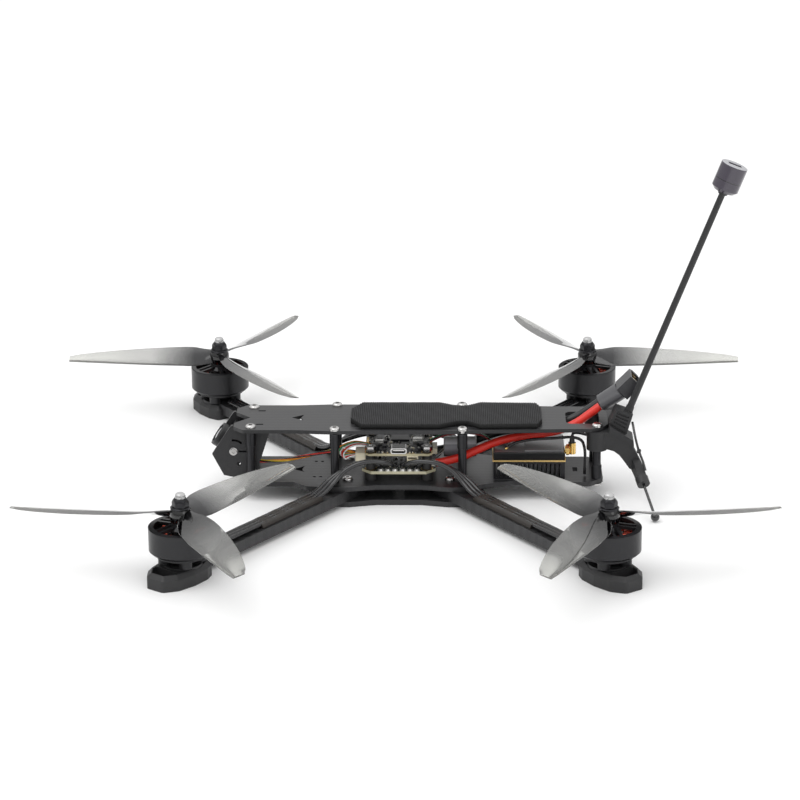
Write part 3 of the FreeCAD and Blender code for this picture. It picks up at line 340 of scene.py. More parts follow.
def copper_look():
    look = Look("enamel_wire", roughness=0.22, Metallic=0.75, Coat_Weight=0.4)
    look.color(look.mix(look.noise(1.0), (0.5, 0.05, 0.03), (0.8, 0.16, 0.09)))
    look.bump(look.noise(0.3), 0.01, 0.3)
    return look.material


def lead_look():
    """The video socket's lead: gold up to the plug's top, black beyond it."""
    look = Look("socket_and_coax", roughness=0.26)
    low = look.math("LESS_THAN", look.axis(2), 28.6 * MM)
    near = look.math("LESS_THAN", look.axis(0), 96.9 * MM)
    gold = look.math("MULTIPLY", low, near)
    look.color(look.mix(gold, (0.01, 0.01, 0.011), (0.9, 0.6, 0.2)))
    look.spread("Metallic", gold, 0.0, 1.0)
    look.bump(look.noise(0.3), 0.01, 0.3)
    return look.material


def capacitor_look():
    look = Look("capacitor_sleeve", roughness=0.3)
    ends = look.math("MAXIMUM", look.math("LESS_THAN", look.axis(0), 24.5 * MM), look.above(0, 42.1))
    stripe = look.math("MULTIPLY", look.above(2, 27.6), look.math("LESS_THAN", look.axis(1), 2.0 * MM))
    sleeve = look.mix(stripe, (0.2, 0.2, 0.22), (0.5, 0.5, 0.52))
    look.color(look.mix(ends, sleeve, (0.6, 0.6, 0.6)))
    look.spread("Metallic", ends, 0.0, 1.0)
    look.bump(look.noise(0.8), 0.02, 0.3)
    return look.material


def pad_look():
    """Matt rubber with painted shade, black down in the grooves, and a little paler along the ribs."""
    look = Look("pad_rubber", roughness=0.8)
    # Painted shade: black below the rib tops in the grooves, fading to the rib colour on the crests.
    crest_above_groove_shade = look.math("MULTIPLY", look.math("SUBTRACT", look.axis(2), 44.0 * MM), 1000 / 0.45)
    crest_above_groove_shade = look.math("MINIMUM", look.math("MAXIMUM", crest_above_groove_shade, 0.0), 1.0)
    rib = look.mix(look.noise(3.0), (0.02, 0.02, 0.021), (0.042, 0.042, 0.045))
    look.color(look.mix(crest_above_groove_shade, (0.003, 0.003, 0.003), rib))
    look.bump(look.noise(0.3), 0.04, 0.6)
    return look.material


def head_look(foot, lean):
    """Glossy dark cap, painted pale on its end face as a highlight."""
    look = Look("antenna_cap", roughness=0.16, Coat_Weight=0.5)
    up = look.math("ADD", look.math("MULTIPLY", look.axis(0), math.sin(lean)),
                   look.math("MULTIPLY", look.axis(2), math.cos(lean)))
    start = (foot[0] * math.sin(lean) + foot[2] * math.cos(lean)) * MM
    # Painted highlight: the end face above this height is pale where the glossy cap catches the light from
    # above.
    top = look.math("GREATER_THAN", up, start + 147.3 * MM)
    groove = look.math("MULTIPLY", look.math("GREATER_THAN", up, start + 138.6 * MM),
                       look.math("LESS_THAN", up, start + 139.0 * MM))
    color = look.mix(groove, (0.05, 0.043, 0.06), (0.01, 0.01, 0.012))
    look.color(look.mix(top, color, (0.42, 0.42, 0.45)))
    look.bump(look.noise(1.4), 0.02, 0.25)
    return look.material


ANTENNA_FOOT = (124.2, -10.0, 48.5)
ANTENNA_LEAN = math.radians(21.2)

CARBON = carbon("carbon_plate")
CARBON_ARM = carbon("carbon_arm", 2.0, 0.007, 0.022)
STEEL = metal("screw_steel", (0.66, 0.65, 0.64), 0.16)
ANODISED = metal("black_anodised", (0.03, 0.03, 0.033), 0.32, metallic=0.6)
CAN = by_height("motor_can", [(0.022, 0.022, 0.024), (31.2, (0.5, 0.5, 0.5))], 0.33, 0.45)
NUT = by_height("lock_nut", [(0.03, 0.03, 0.033), (43.6, (0.45, 0.45, 0.45))], 0.25, 0.8)
BASE = metal("motor_base_black", (0.028, 0.028, 0.03), 0.36, metallic=0.5)
PRINTED = plastic("printed_black", (0.016, 0.016, 0.017), 0.5, 0.4, 0.02, layers_mm=0.5)
PAD = pad_look()
GROMMET = plastic("grommet_rubber", (0.02, 0.02, 0.02), 0.6)
WIRE = plastic("wire_black", (0.009, 0.009, 0.010), 0.2, 1.2, 0.006, Coat_Weight=0.5)
LEAD_BLACK = plastic("silicone_black", (0.012, 0.012, 0.013), 0.36, 0.6, 0.01)
LEAD_RED = plastic("silicone_red", (0.62, 0.022, 0.012), 0.34, 0.6, 0.01)
SLEEVE = plastic("shrink_sleeve", (0.022, 0.018, 0.015), 0.36, 1.5, 0.05)
CAMERA = plastic("camera_black", (0.014, 0.014, 0.015), 0.42)
CHIP = plastic("chip_black", (0.018, 0.018, 0.02), 0.4, 0.2, 0.004)
CREAM = plastic("plug_cream", (0.72, 0.66, 0.5), 0.4)
SHEATH = plastic("sheath_grey", (0.06, 0.06, 0.065), 0.36, 1.2, 0.03)
CONNECTOR = plastic("connector_grey", (0.03, 0.03, 0.033), 0.34, 0.5, 0.02)
GOLD = metal("gold", (0.95, 0.66, 0.25), 0.2)
TIN = metal("solder_tin", (0.8, 0.79, 0.75), 0.28, metallic=0.7)
SMOKE = smoke_look()
COPPER = copper_look()
ESC_BOARD = board_look("board_lower", (0.012, 0.016, 0.015), (0.55, 0.52, 0.36))
FC_BOARD = board_look("board_upper", (0.012, 0.013, 0.014), (0.55, 0.5, 0.33))
VTX_BANDS = [(0.75, 0.52, 0.2), (22.3, (0.012, 0.012, 0.013)), (26.68, (0.24, 0.24, 0.245))]
VTX = by_height("transmitter_case", VTX_BANDS, 0.3, 0.55).material


def dress(material, *nodes):
    for name in nodes:
        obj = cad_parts[name]
        obj.data.materials.clear()
        obj.data.materials.append(material)


corner_names = list(CORNERS)
dress(CARBON, "bottom_plate", "mid_plate", "top_plate", "camera_plate_left", "camera_plate_right")
dress(CARBON_ARM, *[f"arm_{c}" for c in corner_names])
dress(CAN.material, *[f"rotor_{c}" for c in corner_names])
dress(NUT.material, *[f"prop_nut_{c}" for c in corner_names])
dress(PRINTED, "antenna_mount", "antenna_base", *[f"foot_{c}" for c in corner_names])
dress(STEEL, "top_screws", "frame_bolts", "motor_screws", "stack_screws", "usb_port")
dress(BASE, "motor_bases")
dress(GROMMET, "stack_grommets")
dress(CAMERA, "camera_body", "camera_lens", "antenna_stalk")
dress(ESC_BOARD, "speed_controller")
dress(FC_BOARD, "flight_controller")
dress(CHIP, "board_chips")
dress(CREAM, "wire_plugs")
dress(TIN, "boot_button")
dress(CONNECTOR, "power_connector")
dress(SHEATH, "connector_sheath")
dress(GOLD, "connector_pins")
dress(VTX, "vtx_body")
dress(ANODISED, "vtx_heatsink", "standoffs")
dress(WIRE, "receiver_antenna")
dress(lead_look(), "vtx_antenna_lead")
dress(capacitor_look(), "capacitor")
dress(head_look(ANTENNA_FOOT, ANTENNA_LEAN), "antenna_head")


# ---------------------------------------------------------------- propellers
# Three wide blades with squared tips on a short hub. Distance from the axis, leading and trailing
# edge from the blade's line, height rise and thickness; the CAD blades follow the same stations.

BLADE = [(3.0, 3.6, -3.6, 3.0, 3.4), (9.0, 5.2, -5.0, 3.2, 2.6), (15.0, 8.2, -6.5, 3.4, 2.0),
         (24.0, 10.4, -7.0, 2.9, 1.7), (36.0, 11.0, -7.0, 2.4, 1.5), (48.0, 10.8, -6.3, 2.0, 1.3),
         (60.0, 9.9, -5.4, 1.6, 1.1), (72.0, 8.2, -4.4, 1.2, 1.0), (82.0, 6.0, -3.5, 0.9, 0.9),
         (88.3, 3.4, -2.7, 0.7, 0.8)]
PROP_START = {"front_left": (173.3, 1), "rear_left": (7.3, -1),
              "front_right": (183.2, -1), "rear_right": (-3.8, 1)}
PROP_MIDDLE = 34.5
PROP_HUB = [(2.6, 31.0), (5.1, 31.0), (5.6, 31.5), (5.6, 36.6), (5.2, 37.2), (4.9, 38.0), (2.6, 38.0)]


def blade_section(r, spin, half=11):
    """A thin cambered section, from the trailing edge over the top and back below."""
    lead, trail, rise, thick = blend_table(BLADE, r)
    over = []
    under = []
    for i in range(half + 1):
        s = 0.5 - 0.5 * math.cos(math.pi * i / half)
        body = thick * 0.5 * (0.12 + 0.88 * math.sin(math.pi * s ** 0.8))
        y = (trail + (lead - trail) * s) * spin
        z = PROP_MIDDLE - rise + 2 * rise * s + 0.22 * rise * math.sin(math.pi * s)
        over.append(Vector((r, y, z + body)))
        under.append(Vector((r, y, z - body * 0.7)))
    return over + under[::-1]


def motor_place(corner):
    sx, sy = CORNERS[corner]
    return (MOTOR_X * sx, MOTOR_Y * sy, 0)


def make_propeller(corner):
    start, spin = PROP_START[corner]
    bm = bmesh.new()
    stations = [3.0 + 84.9 * (i / 40) for i in range(41)] + [88.2]
    for i in range(3):
        turn = Matrix.Rotation(math.radians(start + 120 * i), 4, "Z")
        skin(bm, [[turn @ p for p in blade_section(r, spin)] for r in stations])
    lathe(bm, PROP_HUB, 48, loop=True)
    obj = piece(f"smoky_propeller_{corner}", f"prop_{corner}", SMOKE, bm, motor_place(corner), 50)
    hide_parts(f"propeller_{corner}")


for corner in CORNERS:
    make_propeller(corner)


# ---------------------------------------------------------------- lock nuts
# A dark six-sided nut whose corners are rounded off towards a narrow silver collar and dome.

NUT_LOW = 38.1
NUT_SEGMENTS = 72
# Height above the seat, size, and how six-sided the nut is there (1) or how round (0).
NUT_RINGS = [(0.0, 0.93, 1.0), (0.35, 1.0, 1.0), (3.4, 1.0, 1.0),
             (4.4, 0.95, 0.55), (5.2, 0.84, 0.1), (5.5, 0.78, 0.0)]
NUT_FLAT = 3.8
NUT_FLANGE = [(3.0, 38.0), (5.2, 38.0), (5.25, 38.7), (4.8, 39.0), (3.0, 39.0)]
NUT_COLLAR = [(2.7, 43.4), (2.75, 44.6), (2.5, 45.2), (1.7, 45.3), (1.5, 46.0), (0.9, 46.15), (0.2, 46.15)]


def hex_radius(angle, flat):
    share = math.fmod(angle, math.pi / 3) - math.pi / 6
    return flat / math.cos(share)


def make_nut(corner):
    bm = bmesh.new()
    rings = []
    for rise, size, square in NUT_RINGS:
        ring = []
        for i in range(NUT_SEGMENTS):
            angle = 2 * math.pi * i / NUT_SEGMENTS
            radius = size * (square * hex_radius(angle, NUT_FLAT) + (1 - square) * NUT_FLAT * 1.02)
            ring.append(Vector((radius * math.cos(angle), radius * math.sin(angle), NUT_LOW + rise)))
        rings.append(ring)
    skin(bm, rings)
    lathe(bm, NUT_FLANGE, 40, loop=True)
    lathe(bm, NUT_COLLAR, 40)
    nut = piece(f"lock_nut_{corner}", f"prop_{corner}", NUT.material, bm, motor_place(corner), 30)
    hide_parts(f"prop_nut_{corner}")


for corner in CORNERS:
    make_nut(corner)


# ---------------------------------------------------------------- standoffs
# Slim posts with a thicker knurled grip, at the top except on the tail pair, where it is at the foot.

STANDOFFS = [(-80.2, 16.0), (-34.5, 20.0), (34.5, 20.0), (107.4, 13.8)]
POST_LOW = 11.5
GRIP_LOW = 31.0
POST_TOP = 39.5
TAIL_GRIP = (11.6, 19.4)


def circle(place, radius, z, count):
    turns = (2 * math.pi * i / count for i in range(count))
    return [place @ Vector((radius * math.cos(t), radius * math.sin(t), z)) for t in turns]


def knurled_post(bm, x, y):
    count = 40
    place = Matrix.Translation((x, y, 0))
    low, high = TAIL_GRIP if x > 100 else (GRIP_LOW, POST_TOP)
    lathe(bm, [(1.5, POST_LOW), (2.1, POST_LOW), (2.3, POST_LOW + 0.3), (2.3, POST_TOP), (1.5, POST_TOP)],
          32, place, loop=True)
    rings = [circle(place, 2.0, low, count)]
    rows = 20
    for row in range(rows + 1):
        z = low + 0.25 + (high - low - 0.5) * row / rows
        ring = []
        for i in range(count):
            radius = 2.78 if (i + row) % 2 else 2.52
            angle = 2 * math.pi * i / count
            ring.append(place @ Vector((radius * math.cos(angle), radius * math.sin(angle), z)))
        rings.append(ring)
    rings.append(circle(place, 2.4, high, count))
    skin(bm, rings)


bm = bmesh.new()
for x, y in STANDOFFS:
    for side in (-1, 1):
        knurled_post(bm, x, y * side)
posts = piece("knurled_posts", FRAME_BODY, ANODISED, bm, sharp=20)
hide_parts("standoffs")


# ---------------------------------------------------------------- battery pad
# A soft mat with a waist, ribbed across the craft, its edges slightly uneven.

PAD_EDGE = [(-26.3, 8.0), (-20.0, 18.8), (22.0, 18.8), (31.5, 13.2),
            (37.0, 13.2), (44.5, 18.8), (75.0, 17.6), (78.5, 8.0)]
PAD_LOW = 41.5
PAD_TOP = 44.45
RIB_PITCH = 1.02


def pad_width(x):
    for (x0, w0), (x1, w1) in zip(PAD_EDGE, PAD_EDGE[1:]):
        if x <= x1:
            return w0 + (w1 - w0) * (x - x0) / (x1 - x0)
    return PAD_EDGE[-1][1]


def make_pad():
    bm = bmesh.new()
    rings = []
    count = int((78.4 + 26.2) / RIB_PITCH)
    for rib in range(count):
        start = -26.2 + rib * RIB_PITCH
        for share, sink in ((0.02, 0.42), (0.3, 0.06), (0.62, 0.0), (0.9, 0.34)):
            x = start + share * RIB_PITCH
            half = pad_width(x) - 0.12 * sink + random.uniform(-0.07, 0.07)
            top = PAD_TOP - sink
            steps = 9
            row = [Vector((x, -half + 0.35, PAD_LOW)), Vector((x, -half, PAD_LOW + 0.5)),
                   Vector((x, -half, top - 0.9)), Vector((x, -half + 0.3, top - 0.25))]
            for i in range(steps):
                y = (-1 + 2 * i / (steps - 1)) * (half - 0.9)
                wave = 0.05 * math.sin(x * 0.55 + y * 0.4)
                row.append(Vector((x, y, top + wave - 0.05)))
            row += [Vector((x, half - 0.3, top - 0.25)), Vector((x, half, top - 0.9)),
                    Vector((x, half, PAD_LOW + 0.5)), Vector((x, half - 0.35, PAD_LOW))]
            rings.append(row)
    skin(bm, rings)
    pad = piece("ribbed_pad", FRAME_BODY, PAD, bm, sharp=60)
    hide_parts("battery_pad")


make_pad()


# ---------------------------------------------------------------- motor windings
# Twelve coils of enamelled wire on each stator, each wound as closed rounded loops.

COIL_TURNS = 7
COIL_MIDDLE = 20.75
COIL_INNER = 7.9
COIL_OUTER = 11.75


def coil_loop(bm, x, half_y, half_z, turn, place, thick=0.36, points=16, sides=6):
    rings = []
    for i in range(points):
        angle = 2 * math.pi * i / points
        c = math.copysign(abs(math.cos(angle)) ** 0.5, math.cos(angle))
        s = math.copysign(abs(math.sin(angle)) ** 0.5, math.sin(angle))
        centre = Vector((x, half_y * c, COIL_MIDDLE + half_z * s))
        outward = Vector((0, math.cos(angle), math.sin(angle)))
        ring = []
        for k in range(sides):
            b = 2 * math.pi * k / sides
            around = outward * (thick * math.cos(b)) + Vector((thick * math.sin(b), 0, 0))
            ring.append(place @ turn @ (centre + around))
        rings.append(ring)
    skin(bm, rings, loop=True)


bm = bmesh.new()
for sx, sy in CORNERS.values():
    place = Matrix.Translation((MOTOR_X * sx, MOTOR_Y * sy, 0))
    arm_angle = math.atan2(MOTOR_Y * sy, (MOTOR_X - 16.0) * sx)
    for tooth in range(12):
        turn = Matrix.Rotation(arm_angle + 2 * math.pi * tooth / 12, 4, "Z")
        for n in range(COIL_TURNS):
            share = n / (COIL_TURNS - 1)
            x = COIL_INNER + (COIL_OUTER - COIL_INNER) * share
            coil_loop(bm, x, 1.25 + 0.55 * share, 4.95 + 0.25 * math.sin(math.pi * share), turn, place)
coils = piece("wound_coils", FRAME_BODY, COPPER, bm, sharp=80)
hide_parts("motor_windings")


# ---------------------------------------------------------------- motor leads
# Three glossy black leads to each motor rise from the lower board in a hump, drop beside the middle
# plate and lie side by side on the arm under a shrink sleeve.

ARM_ROOT_X = 16.0
ARM_LENGTH = math.hypot(MOTOR_X - ARM_ROOT_X, MOTOR_Y)
ARM_ALONG = Vector(((MOTOR_X - ARM_ROOT_X) / ARM_LENGTH, MOTOR_Y / ARM_LENGTH, 0))
ARM_ACROSS = Vector((-ARM_ALONG.y, ARM_ALONG.x, 0))
JOINTS_X = [2.2, 6.0, 9.8]
JOINT_Y = 18.3
BOARD_TOP = 17.6
LANE_PITCH = 2.6
LEAD_HEIGHT = 10.7


def on_arm(distance, offset, z):
    return Vector((ARM_ROOT_X, 0, z)) + ARM_ALONG * distance + ARM_ACROSS * offset


def motor_lead_route(lane):
    joint = JOINTS_X[1 - lane]
    offset = lane * LANE_PITCH
    return [Vector((joint, JOINT_Y + 0.6, BOARD_TOP + 2.0)),
            Vector((joint + 1.2, JOINT_Y + 4.2 + lane * 0.9, 23.6 + lane * 0.4)),
            Vector((17.5, 24.3 + lane * 2.35, 25.4 + lane * 0.8)),
            Vector((28.0, 25.8 + lane * 2.35, 21.8 + lane * 0.6)),
            Vector((36.0, 28.6, 15.6 + lane * 0.3)) + ARM_ACROSS * offset,
            on_arm(44.5, offset, LEAD_HEIGHT + 0.1), on_arm(58.0, offset, LEAD_HEIGHT),
            on_arm(78.0, offset, LEAD_HEIGHT), on_arm(98.0, offset, LEAD_HEIGHT),
            on_arm(112.0, offset * 1.02, LEAD_HEIGHT + 0.15),
            on_arm(126.0, offset * 0.98, LEAD_HEIGHT - 0.1),
            on_arm(ARM_LENGTH - 14.2, offset, LEAD_HEIGHT - 0.1)]


first_lead = None
for corner, (sx, sy) in CORNERS.items():
    for lane in (-1, 0, 1):
        route = [Vector((p.x * sx, p.y * sy, p.z)) for p in motor_lead_route(lane)]
        lead = wire(f"motor_lead_{corner}_{lane + 2}", FRAME_BODY, WIRE, route, 1.27, 5)
        first_lead = first_lead or lead
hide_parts("motor_wires")


# ---------------------------------------------------------------- shrink sleeves
# Brown-black tube shrunk over the three leads, so that it shows three soft ridges.

def sleeve_ring(swell):
    """An outline that is flat below and follows the three leads above."""
    low = 9.06
    points = []
    for i in range(25):
        y = -4.95 + 9.9 * i / 24
        ridge = 0.5 + 0.5 * math.cos(2 * math.pi * y / LANE_PITCH)
        shoulder = 1 - max(0.0, (abs(y) - 3.4) / 1.55) ** 2
        top = low + 0.9 + (1.62 + 0.42 * ridge) * shoulder * swell
        points.append((y * swell ** 0.3, top))
    for y in (4.9, 3.0, 0.0, -3.0, -4.9):
        points.append((y, low))
    return points


bm = bmesh.new()
for sx, sy in CORNERS.values():
    rings = []
    for i in range(27):
        distance = 48.0 + 50.5 * i / 26
        swell = 1.0 + 0.035 * math.sin(distance * 0.5 + sx) + 0.02 * math.sin(distance * 1.3 + sy)
        if i in (0, 26):
            swell *= 0.96
        ring = []
        for y, z in sleeve_ring(min(swell, 1.05)):
            p = on_arm(distance, y, z)
            ring.append(Vector((p.x * sx, p.y * sy, p.z)))
        rings.append(ring)
    skin(bm, rings)
sleeves = piece("ridged_sleeves", FRAME_BODY, SLEEVE, bm, sharp=60)
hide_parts("wire_sleeves")


# ---------------------------------------------------------------- boards
# Solder joints, switches and small parts on both boards. Every joint is a smooth cone of tin round
# a lead's end, and the small parts are scattered at random places that keep clear of the large ones.

def tin_cone(bm, x, y, z, base, height):
    profile = []
    for i in range(7):
        t = i / 6
        profile.append((base * (1 - t) ** 1.7 + base * 0.42 * t ** 0.6, z + height * t))
    lathe(bm, profile, 20, Matrix.Translation((x, y, 0)))


bm = bmesh.new()
for x in JOINTS_X:
    for sx in (-1, 1):
        for sy in (-1, 1):
            tin_cone(bm, x * sx, JOINT_Y * sy, BOARD_TOP, 1.7, 2.7)
            block(bm, x * sx - 1.6, x * sx + 1.6, JOINT_Y * sy - 1.6, JOINT_Y * sy + 1.6, BOARD_TOP - 0.02,
                  BOARD_TOP + 0.06)
for y in (-10.2, 10.2):
    block(bm, 16.4, 20.0, y - 3.0, y + 3.0, BOARD_TOP, BOARD_TOP + 1.9, 0.7)
joints = piece("tin_joints", FRAME_BODY, TIN, bm, sharp=50)
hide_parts("solder_joints")


def tiny_parts(half, taken, count, seed):
    """Places for small parts on a board, clear of the boxes that are already taken."""
    rng = random.Random(seed)
    places = []
    tries = 0
    while len(places) < count and tries < 6000:
        tries += 1
        long, wide = rng.choice([(1.0, 0.5), (1.6, 0.8), (2.0, 1.2), (1.0, 0.5), (2.6, 1.6)])
        if rng.random() < 0.5:
            long, wide = wide, long
        x = rng.uniform(-half + 1.2, half - 1.2)
        y = rng.uniform(-half + 1.2, half - 1.2)
        spot = (x - long / 2 - 0.25, x + long / 2 + 0.25, y - wide / 2 - 0.25, y + wide / 2 + 0.25)
        if all(spot[1] < t[0] or spot[0] > t[1] or spot[3] < t[2] or spot[2] > t[3] for t in taken):
            taken.append(spot)
            places.append((x, y, long, wide, min(long, wide) * rng.uniform(0.6, 1.0)))
    return places


def put_parts(name, z, places):
    ends = bmesh.new()
    bodies = bmesh.new()
    pale = bmesh.new()
    for i, (x, y, long, wide, tall) in enumerate(places):
        block(ends, x - long / 2, x + long / 2, y - wide / 2, y + wide / 2, z, z + tall * 0.92, 0.06)
        if long > wide:
            inner = (x - long * 0.29, x + long * 0.29, y - wide / 2 - 0.01, y + wide / 2 + 0.01)
        else:
            inner = (x - long / 2 - 0.01, x + long / 2 + 0.01, y - wide * 0.29, y + wide * 0.29)
        block(pale if i % 3 == 0 else bodies, *inner, z, z + tall, 0.03)
    piece(f"{name}_ends", FRAME_BODY, TIN, ends, sharp=50)
    piece(f"{name}_dark", FRAME_BODY, CHIP, bodies, sharp=50)
    piece(f"{name}_pale", FRAME_BODY, CREAM, pale, sharp=50)


STACK_HOLE = 15.25
CORNER_PADS = [(sx * STACK_HOLE - 4, sx * STACK_HOLE + 4, sy * STACK_HOLE - 4, sy * STACK_HOLE + 4)
               for sx in (-1, 1) for sy in (-1, 1)]
upper_taken = CORNER_PADS + [(-5.6, 5.6, -19, -10.8), (-4.8, 5.8, 0.7, 11.3), (-13.3, -8.3, -4.8, 0.8),
                             (7.3, 12.9, -3.3, 2.7), (8.0, 11.6, 5.8, 9.4), (-12.6, -9.0, 3.8, 8.8),
                             (-14.5, -10.2, -11.6, -7.2), (9.2, 12.8, -13.4, -4.6), (-7.3, 7.3, 13.2, 16.8),
                             (-9.2, -6.6, -9.8, -5.8), (-10.8, -6.8, -14.6, -11.6),
                             (6.4, 10.6, -15.6, -12.4)]
put_parts("upper_parts", 27.2, tiny_parts(18.0, upper_taken, 78, 3))
lower_taken = CORNER_PADS + [(-20, 20, 15.8, 20), (-20, 20, -20, -15.8), (15.5, 20, -14, -6),
                             (15.5, 20, 6, 14), (-12, 11.5, -11.5, -5.8), (-12, 11.5, 5.8, 11.5)]
put_parts("lower_parts", BOARD_TOP, tiny_parts(19.5, lower_taken, 60, 5))

bm = bmesh.new()
for x in (-11.5, -5.6, 0.3, 6.2):
    for y in (-11.0, 6.2):
        block(bm, x, x + 4.6, y, y + 4.8, BOARD_TOP, BOARD_TOP + 1.0, 0.12)
piece("switch_chips", FRAME_BODY, CHIP, bm, sharp=40)

bm = bmesh.new()
for side in (-1, 1):
    for i in range(9):
        x = -8.0 + 2.0 * i
        block(bm, x - 0.6, x + 0.6, side * 17.3 - 0.6, side * 17.3 + 0.6, 27.2, 27.27)
for i in range(8):
    y = -7.0 + 2.0 * i
    for side in (-1, 1):
        block(bm, side * 17.2 - 0.6, side * 17.2 + 0.6, y - 0.6, y + 0.6, 27.2, 27.27)
for sx in (-1, 1):
    for sy in (-1, 1):
        for low, radius in ((27.2, 3.3), (BOARD_TOP, 3.4)):
            lathe(bm, [(2.3, low), (radius, low), (radius, low + 0.06), (2.3, low + 0.06)], 28,
                  Matrix.Translation((STACK_HOLE * sx, STACK_HOLE * sy, 0)), loop=True)
piece("gold_pads", FRAME_BODY, GOLD, bm, sharp=40)

# Tin pins in the plugs, and the metal lids over two of the upper board's chips.
bm = bmesh.new()
for i in range(6):
    x = 5.55 + 0.78 * i
    block(bm, x - 0.15, x + 0.15, -17.9, -15.0, 23.9, 24.2)
LIDS = [(-13.1, -8.5, -4.6, 0.6, 28.95), (7.5, 12.7, -3.1, 2.5, 29.55), (-7.1, 7.1, 13.3, 16.7, 29.15)]
for x0, x1, y0, y1, top in LIDS:
    block(bm, x0, x1, y0, y1, 27.2, top, 0.25)
piece("plug_pins_and_lids", FRAME_BODY, TIN, bm, sharp=40)


# ---------------------------------------------------------------- thin wires
# Coloured wires between the plugs, the camera, the capacitor and the transmitter.

def colour(name, rgb):
    return plastic(name, rgb, 0.35, 0.5, 0.006)


ORANGE = colour("wire_orange", (0.85, 0.25, 0.02))
RED = colour("wire_red", (0.65, 0.03, 0.02))
WHITE = colour("wire_white", (0.8, 0.8, 0.78))
GREEN = colour("wire_green", (0.05, 0.3, 0.12))
YELLOW = colour("wire_yellow", (0.8, 0.55, 0.05))
CAMERA_ROUTE = [(-78.6, -3.0, 17.4), (-66, -4.5, 17.6), (-54, -5.5, 20.4), (-41, -6, 23.6), (-30, -7, 25.6),
                (-23.7, -7.5, 24.2)]
TWIST_R = 0.85
TWIST_STEP = 1.9
for i, material in enumerate((ORANGE, YELLOW, WIRE, RED, WIRE)):
    points = []
    for k, (x, y, z) in enumerate(CAMERA_ROUTE):
        angle = TWIST_STEP * k + 2 * math.pi * i / 5
        points.append((x, y + TWIST_R * math.cos(angle), z + TWIST_R * math.sin(angle)))
    wire(f"camera_wire_{i + 1}", FRAME_BODY, material, points, 0.42)
for i, (material, out) in enumerate(((WHITE, 0.0), (RED, 0.9), (WHITE, 1.8), (GREEN, 2.6), (ORANGE, 3.3))):
    y = -12.4 + i * 1.1
    points = [(-23.3, y, 24.0 - 0.1 * i), (-26.4, y - 0.4, 23.8), (-29.5 - out, y - 0.8, 21.6 + 0.5 * i),
              (-30.5 - out, y - 0.4, 25.6 + 0.4 * i), (-25.5, y + 0.8, 29.4 + 0.3 * i),
              (-19.5, y + 1.5, 29.7), (-15.6, y + 2.0, 28.4)]
    wire(f"loop_wire_{i + 1}", FRAME_BODY, material, points, 0.42)
DARK_RED = colour("wire_dark_red", (0.22, 0.012, 0.012))
for i, (material, y) in enumerate(((DARK_RED, -2.2), (WIRE, -0.4), (GREEN, 1.4))):
    points = [(16.8, y, 27.9), (20.6, y, 30.6), (30.0, y * 0.9, 33.2 + 0.3 * i), (40.0, y * 0.8, 33.0),
              (48.4, y * 0.8, 31.0), (51.2, y * 0.8, 26.2)]
    wire(f"video_wire_{i + 1}", FRAME_BODY, material, points, 0.42)
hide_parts("camera_wires")


# ---------------------------------------------------------------- camera glass
# Domed front element behind the barrel's lip, and silver washers on the pivot screws.

PIVOT = Vector((-90.0, 0, 26.4))
GLASS = Look("lens_glass", (0.006, 0.006, 0.012), 0.04, Coat_Weight=1.0, IOR=1.6)
coating = GLASS.math("MULTIPLY", GLASS.noise(5.0), 0.5)
GLASS.color(GLASS.mix(coating, (0.004, 0.004, 0.01), (0.03, 0.01, 0.05)))
CAMERA_TILT = math.radians(34)
tilt = Matrix.Translation(PIVOT) @ Matrix.Rotation(CAMERA_TILT, 4, "Y")
tilt = tilt @ Matrix.Rotation(math.radians(-90), 4, "Y")
bm = bmesh.new()
DOME_R = 12.0
DOME_SETBACK = 0.62
dome = [(r, math.sqrt(DOME_R ** 2 - r ** 2) - DOME_SETBACK) for r in (0.05, 0.9, 1.8, 2.7, 3.6, 4.5, 5.35)]
dome.append((5.35, 9.6))
lathe(bm, dome, 40, tilt)
piece("lens_dome", "camera", GLASS.material, bm, sharp=60)

bm = bmesh.new()
lathe(bm, [(5.4, 10.2), (6.1, 10.2), (6.35, 11.2), (5.9, 11.4), (5.4, 11.1)], 44, tilt, loop=True)
for k in range(6):
    angle = math.radians(60 * k + 15)
    spot = Matrix.Translation((6.2 * math.cos(angle), 6.2 * math.sin(angle), 0))
    lathe(bm, [(0.35, 10.9), (0.35, 11.45)], 10, tilt @ spot)
piece("lens_ring", "camera", ANODISED, bm, sharp=40)

bm = bmesh.new()
for side in (-1, 1):
    outward = Matrix.Rotation(math.radians(-90 * side), 4, "X")
    place = Matrix.Translation((PIVOT.x, side * 12.72, PIVOT.z)) @ outward
    lathe(bm, [(1.72, 0.0), (2.2, 0.0), (2.2, 0.24), (2.05, 0.34), (1.72, 0.34)], 36, place, loop=True)
piece("pivot_washers", FRAME_BODY, STEEL, bm, sharp=40)


# ---------------------------------------------------------------- tail details
# A clip that holds the receiver's coax to the tail mount.

bm = bmesh.new()
CLIP_AT = (129.8, -21.1, 29.8)
CLIP_PROFILE = [(0.7, -0.8), (1.15, -0.8), (1.15, 0.8), (0.7, 0.8)]
clip_place = Matrix.Translation(CLIP_AT) @ Matrix.Rotation(math.radians(28), 4, "X")
lathe(bm, CLIP_PROFILE, 16, clip_place, loop=True)
piece("coax_clips", FRAME_BODY, PRINTED, bm, sharp=40)


# ---------------------------------------------------------------- power leads
# Thick red and black silicone leads from the lower board to the connector, through the tail slot.

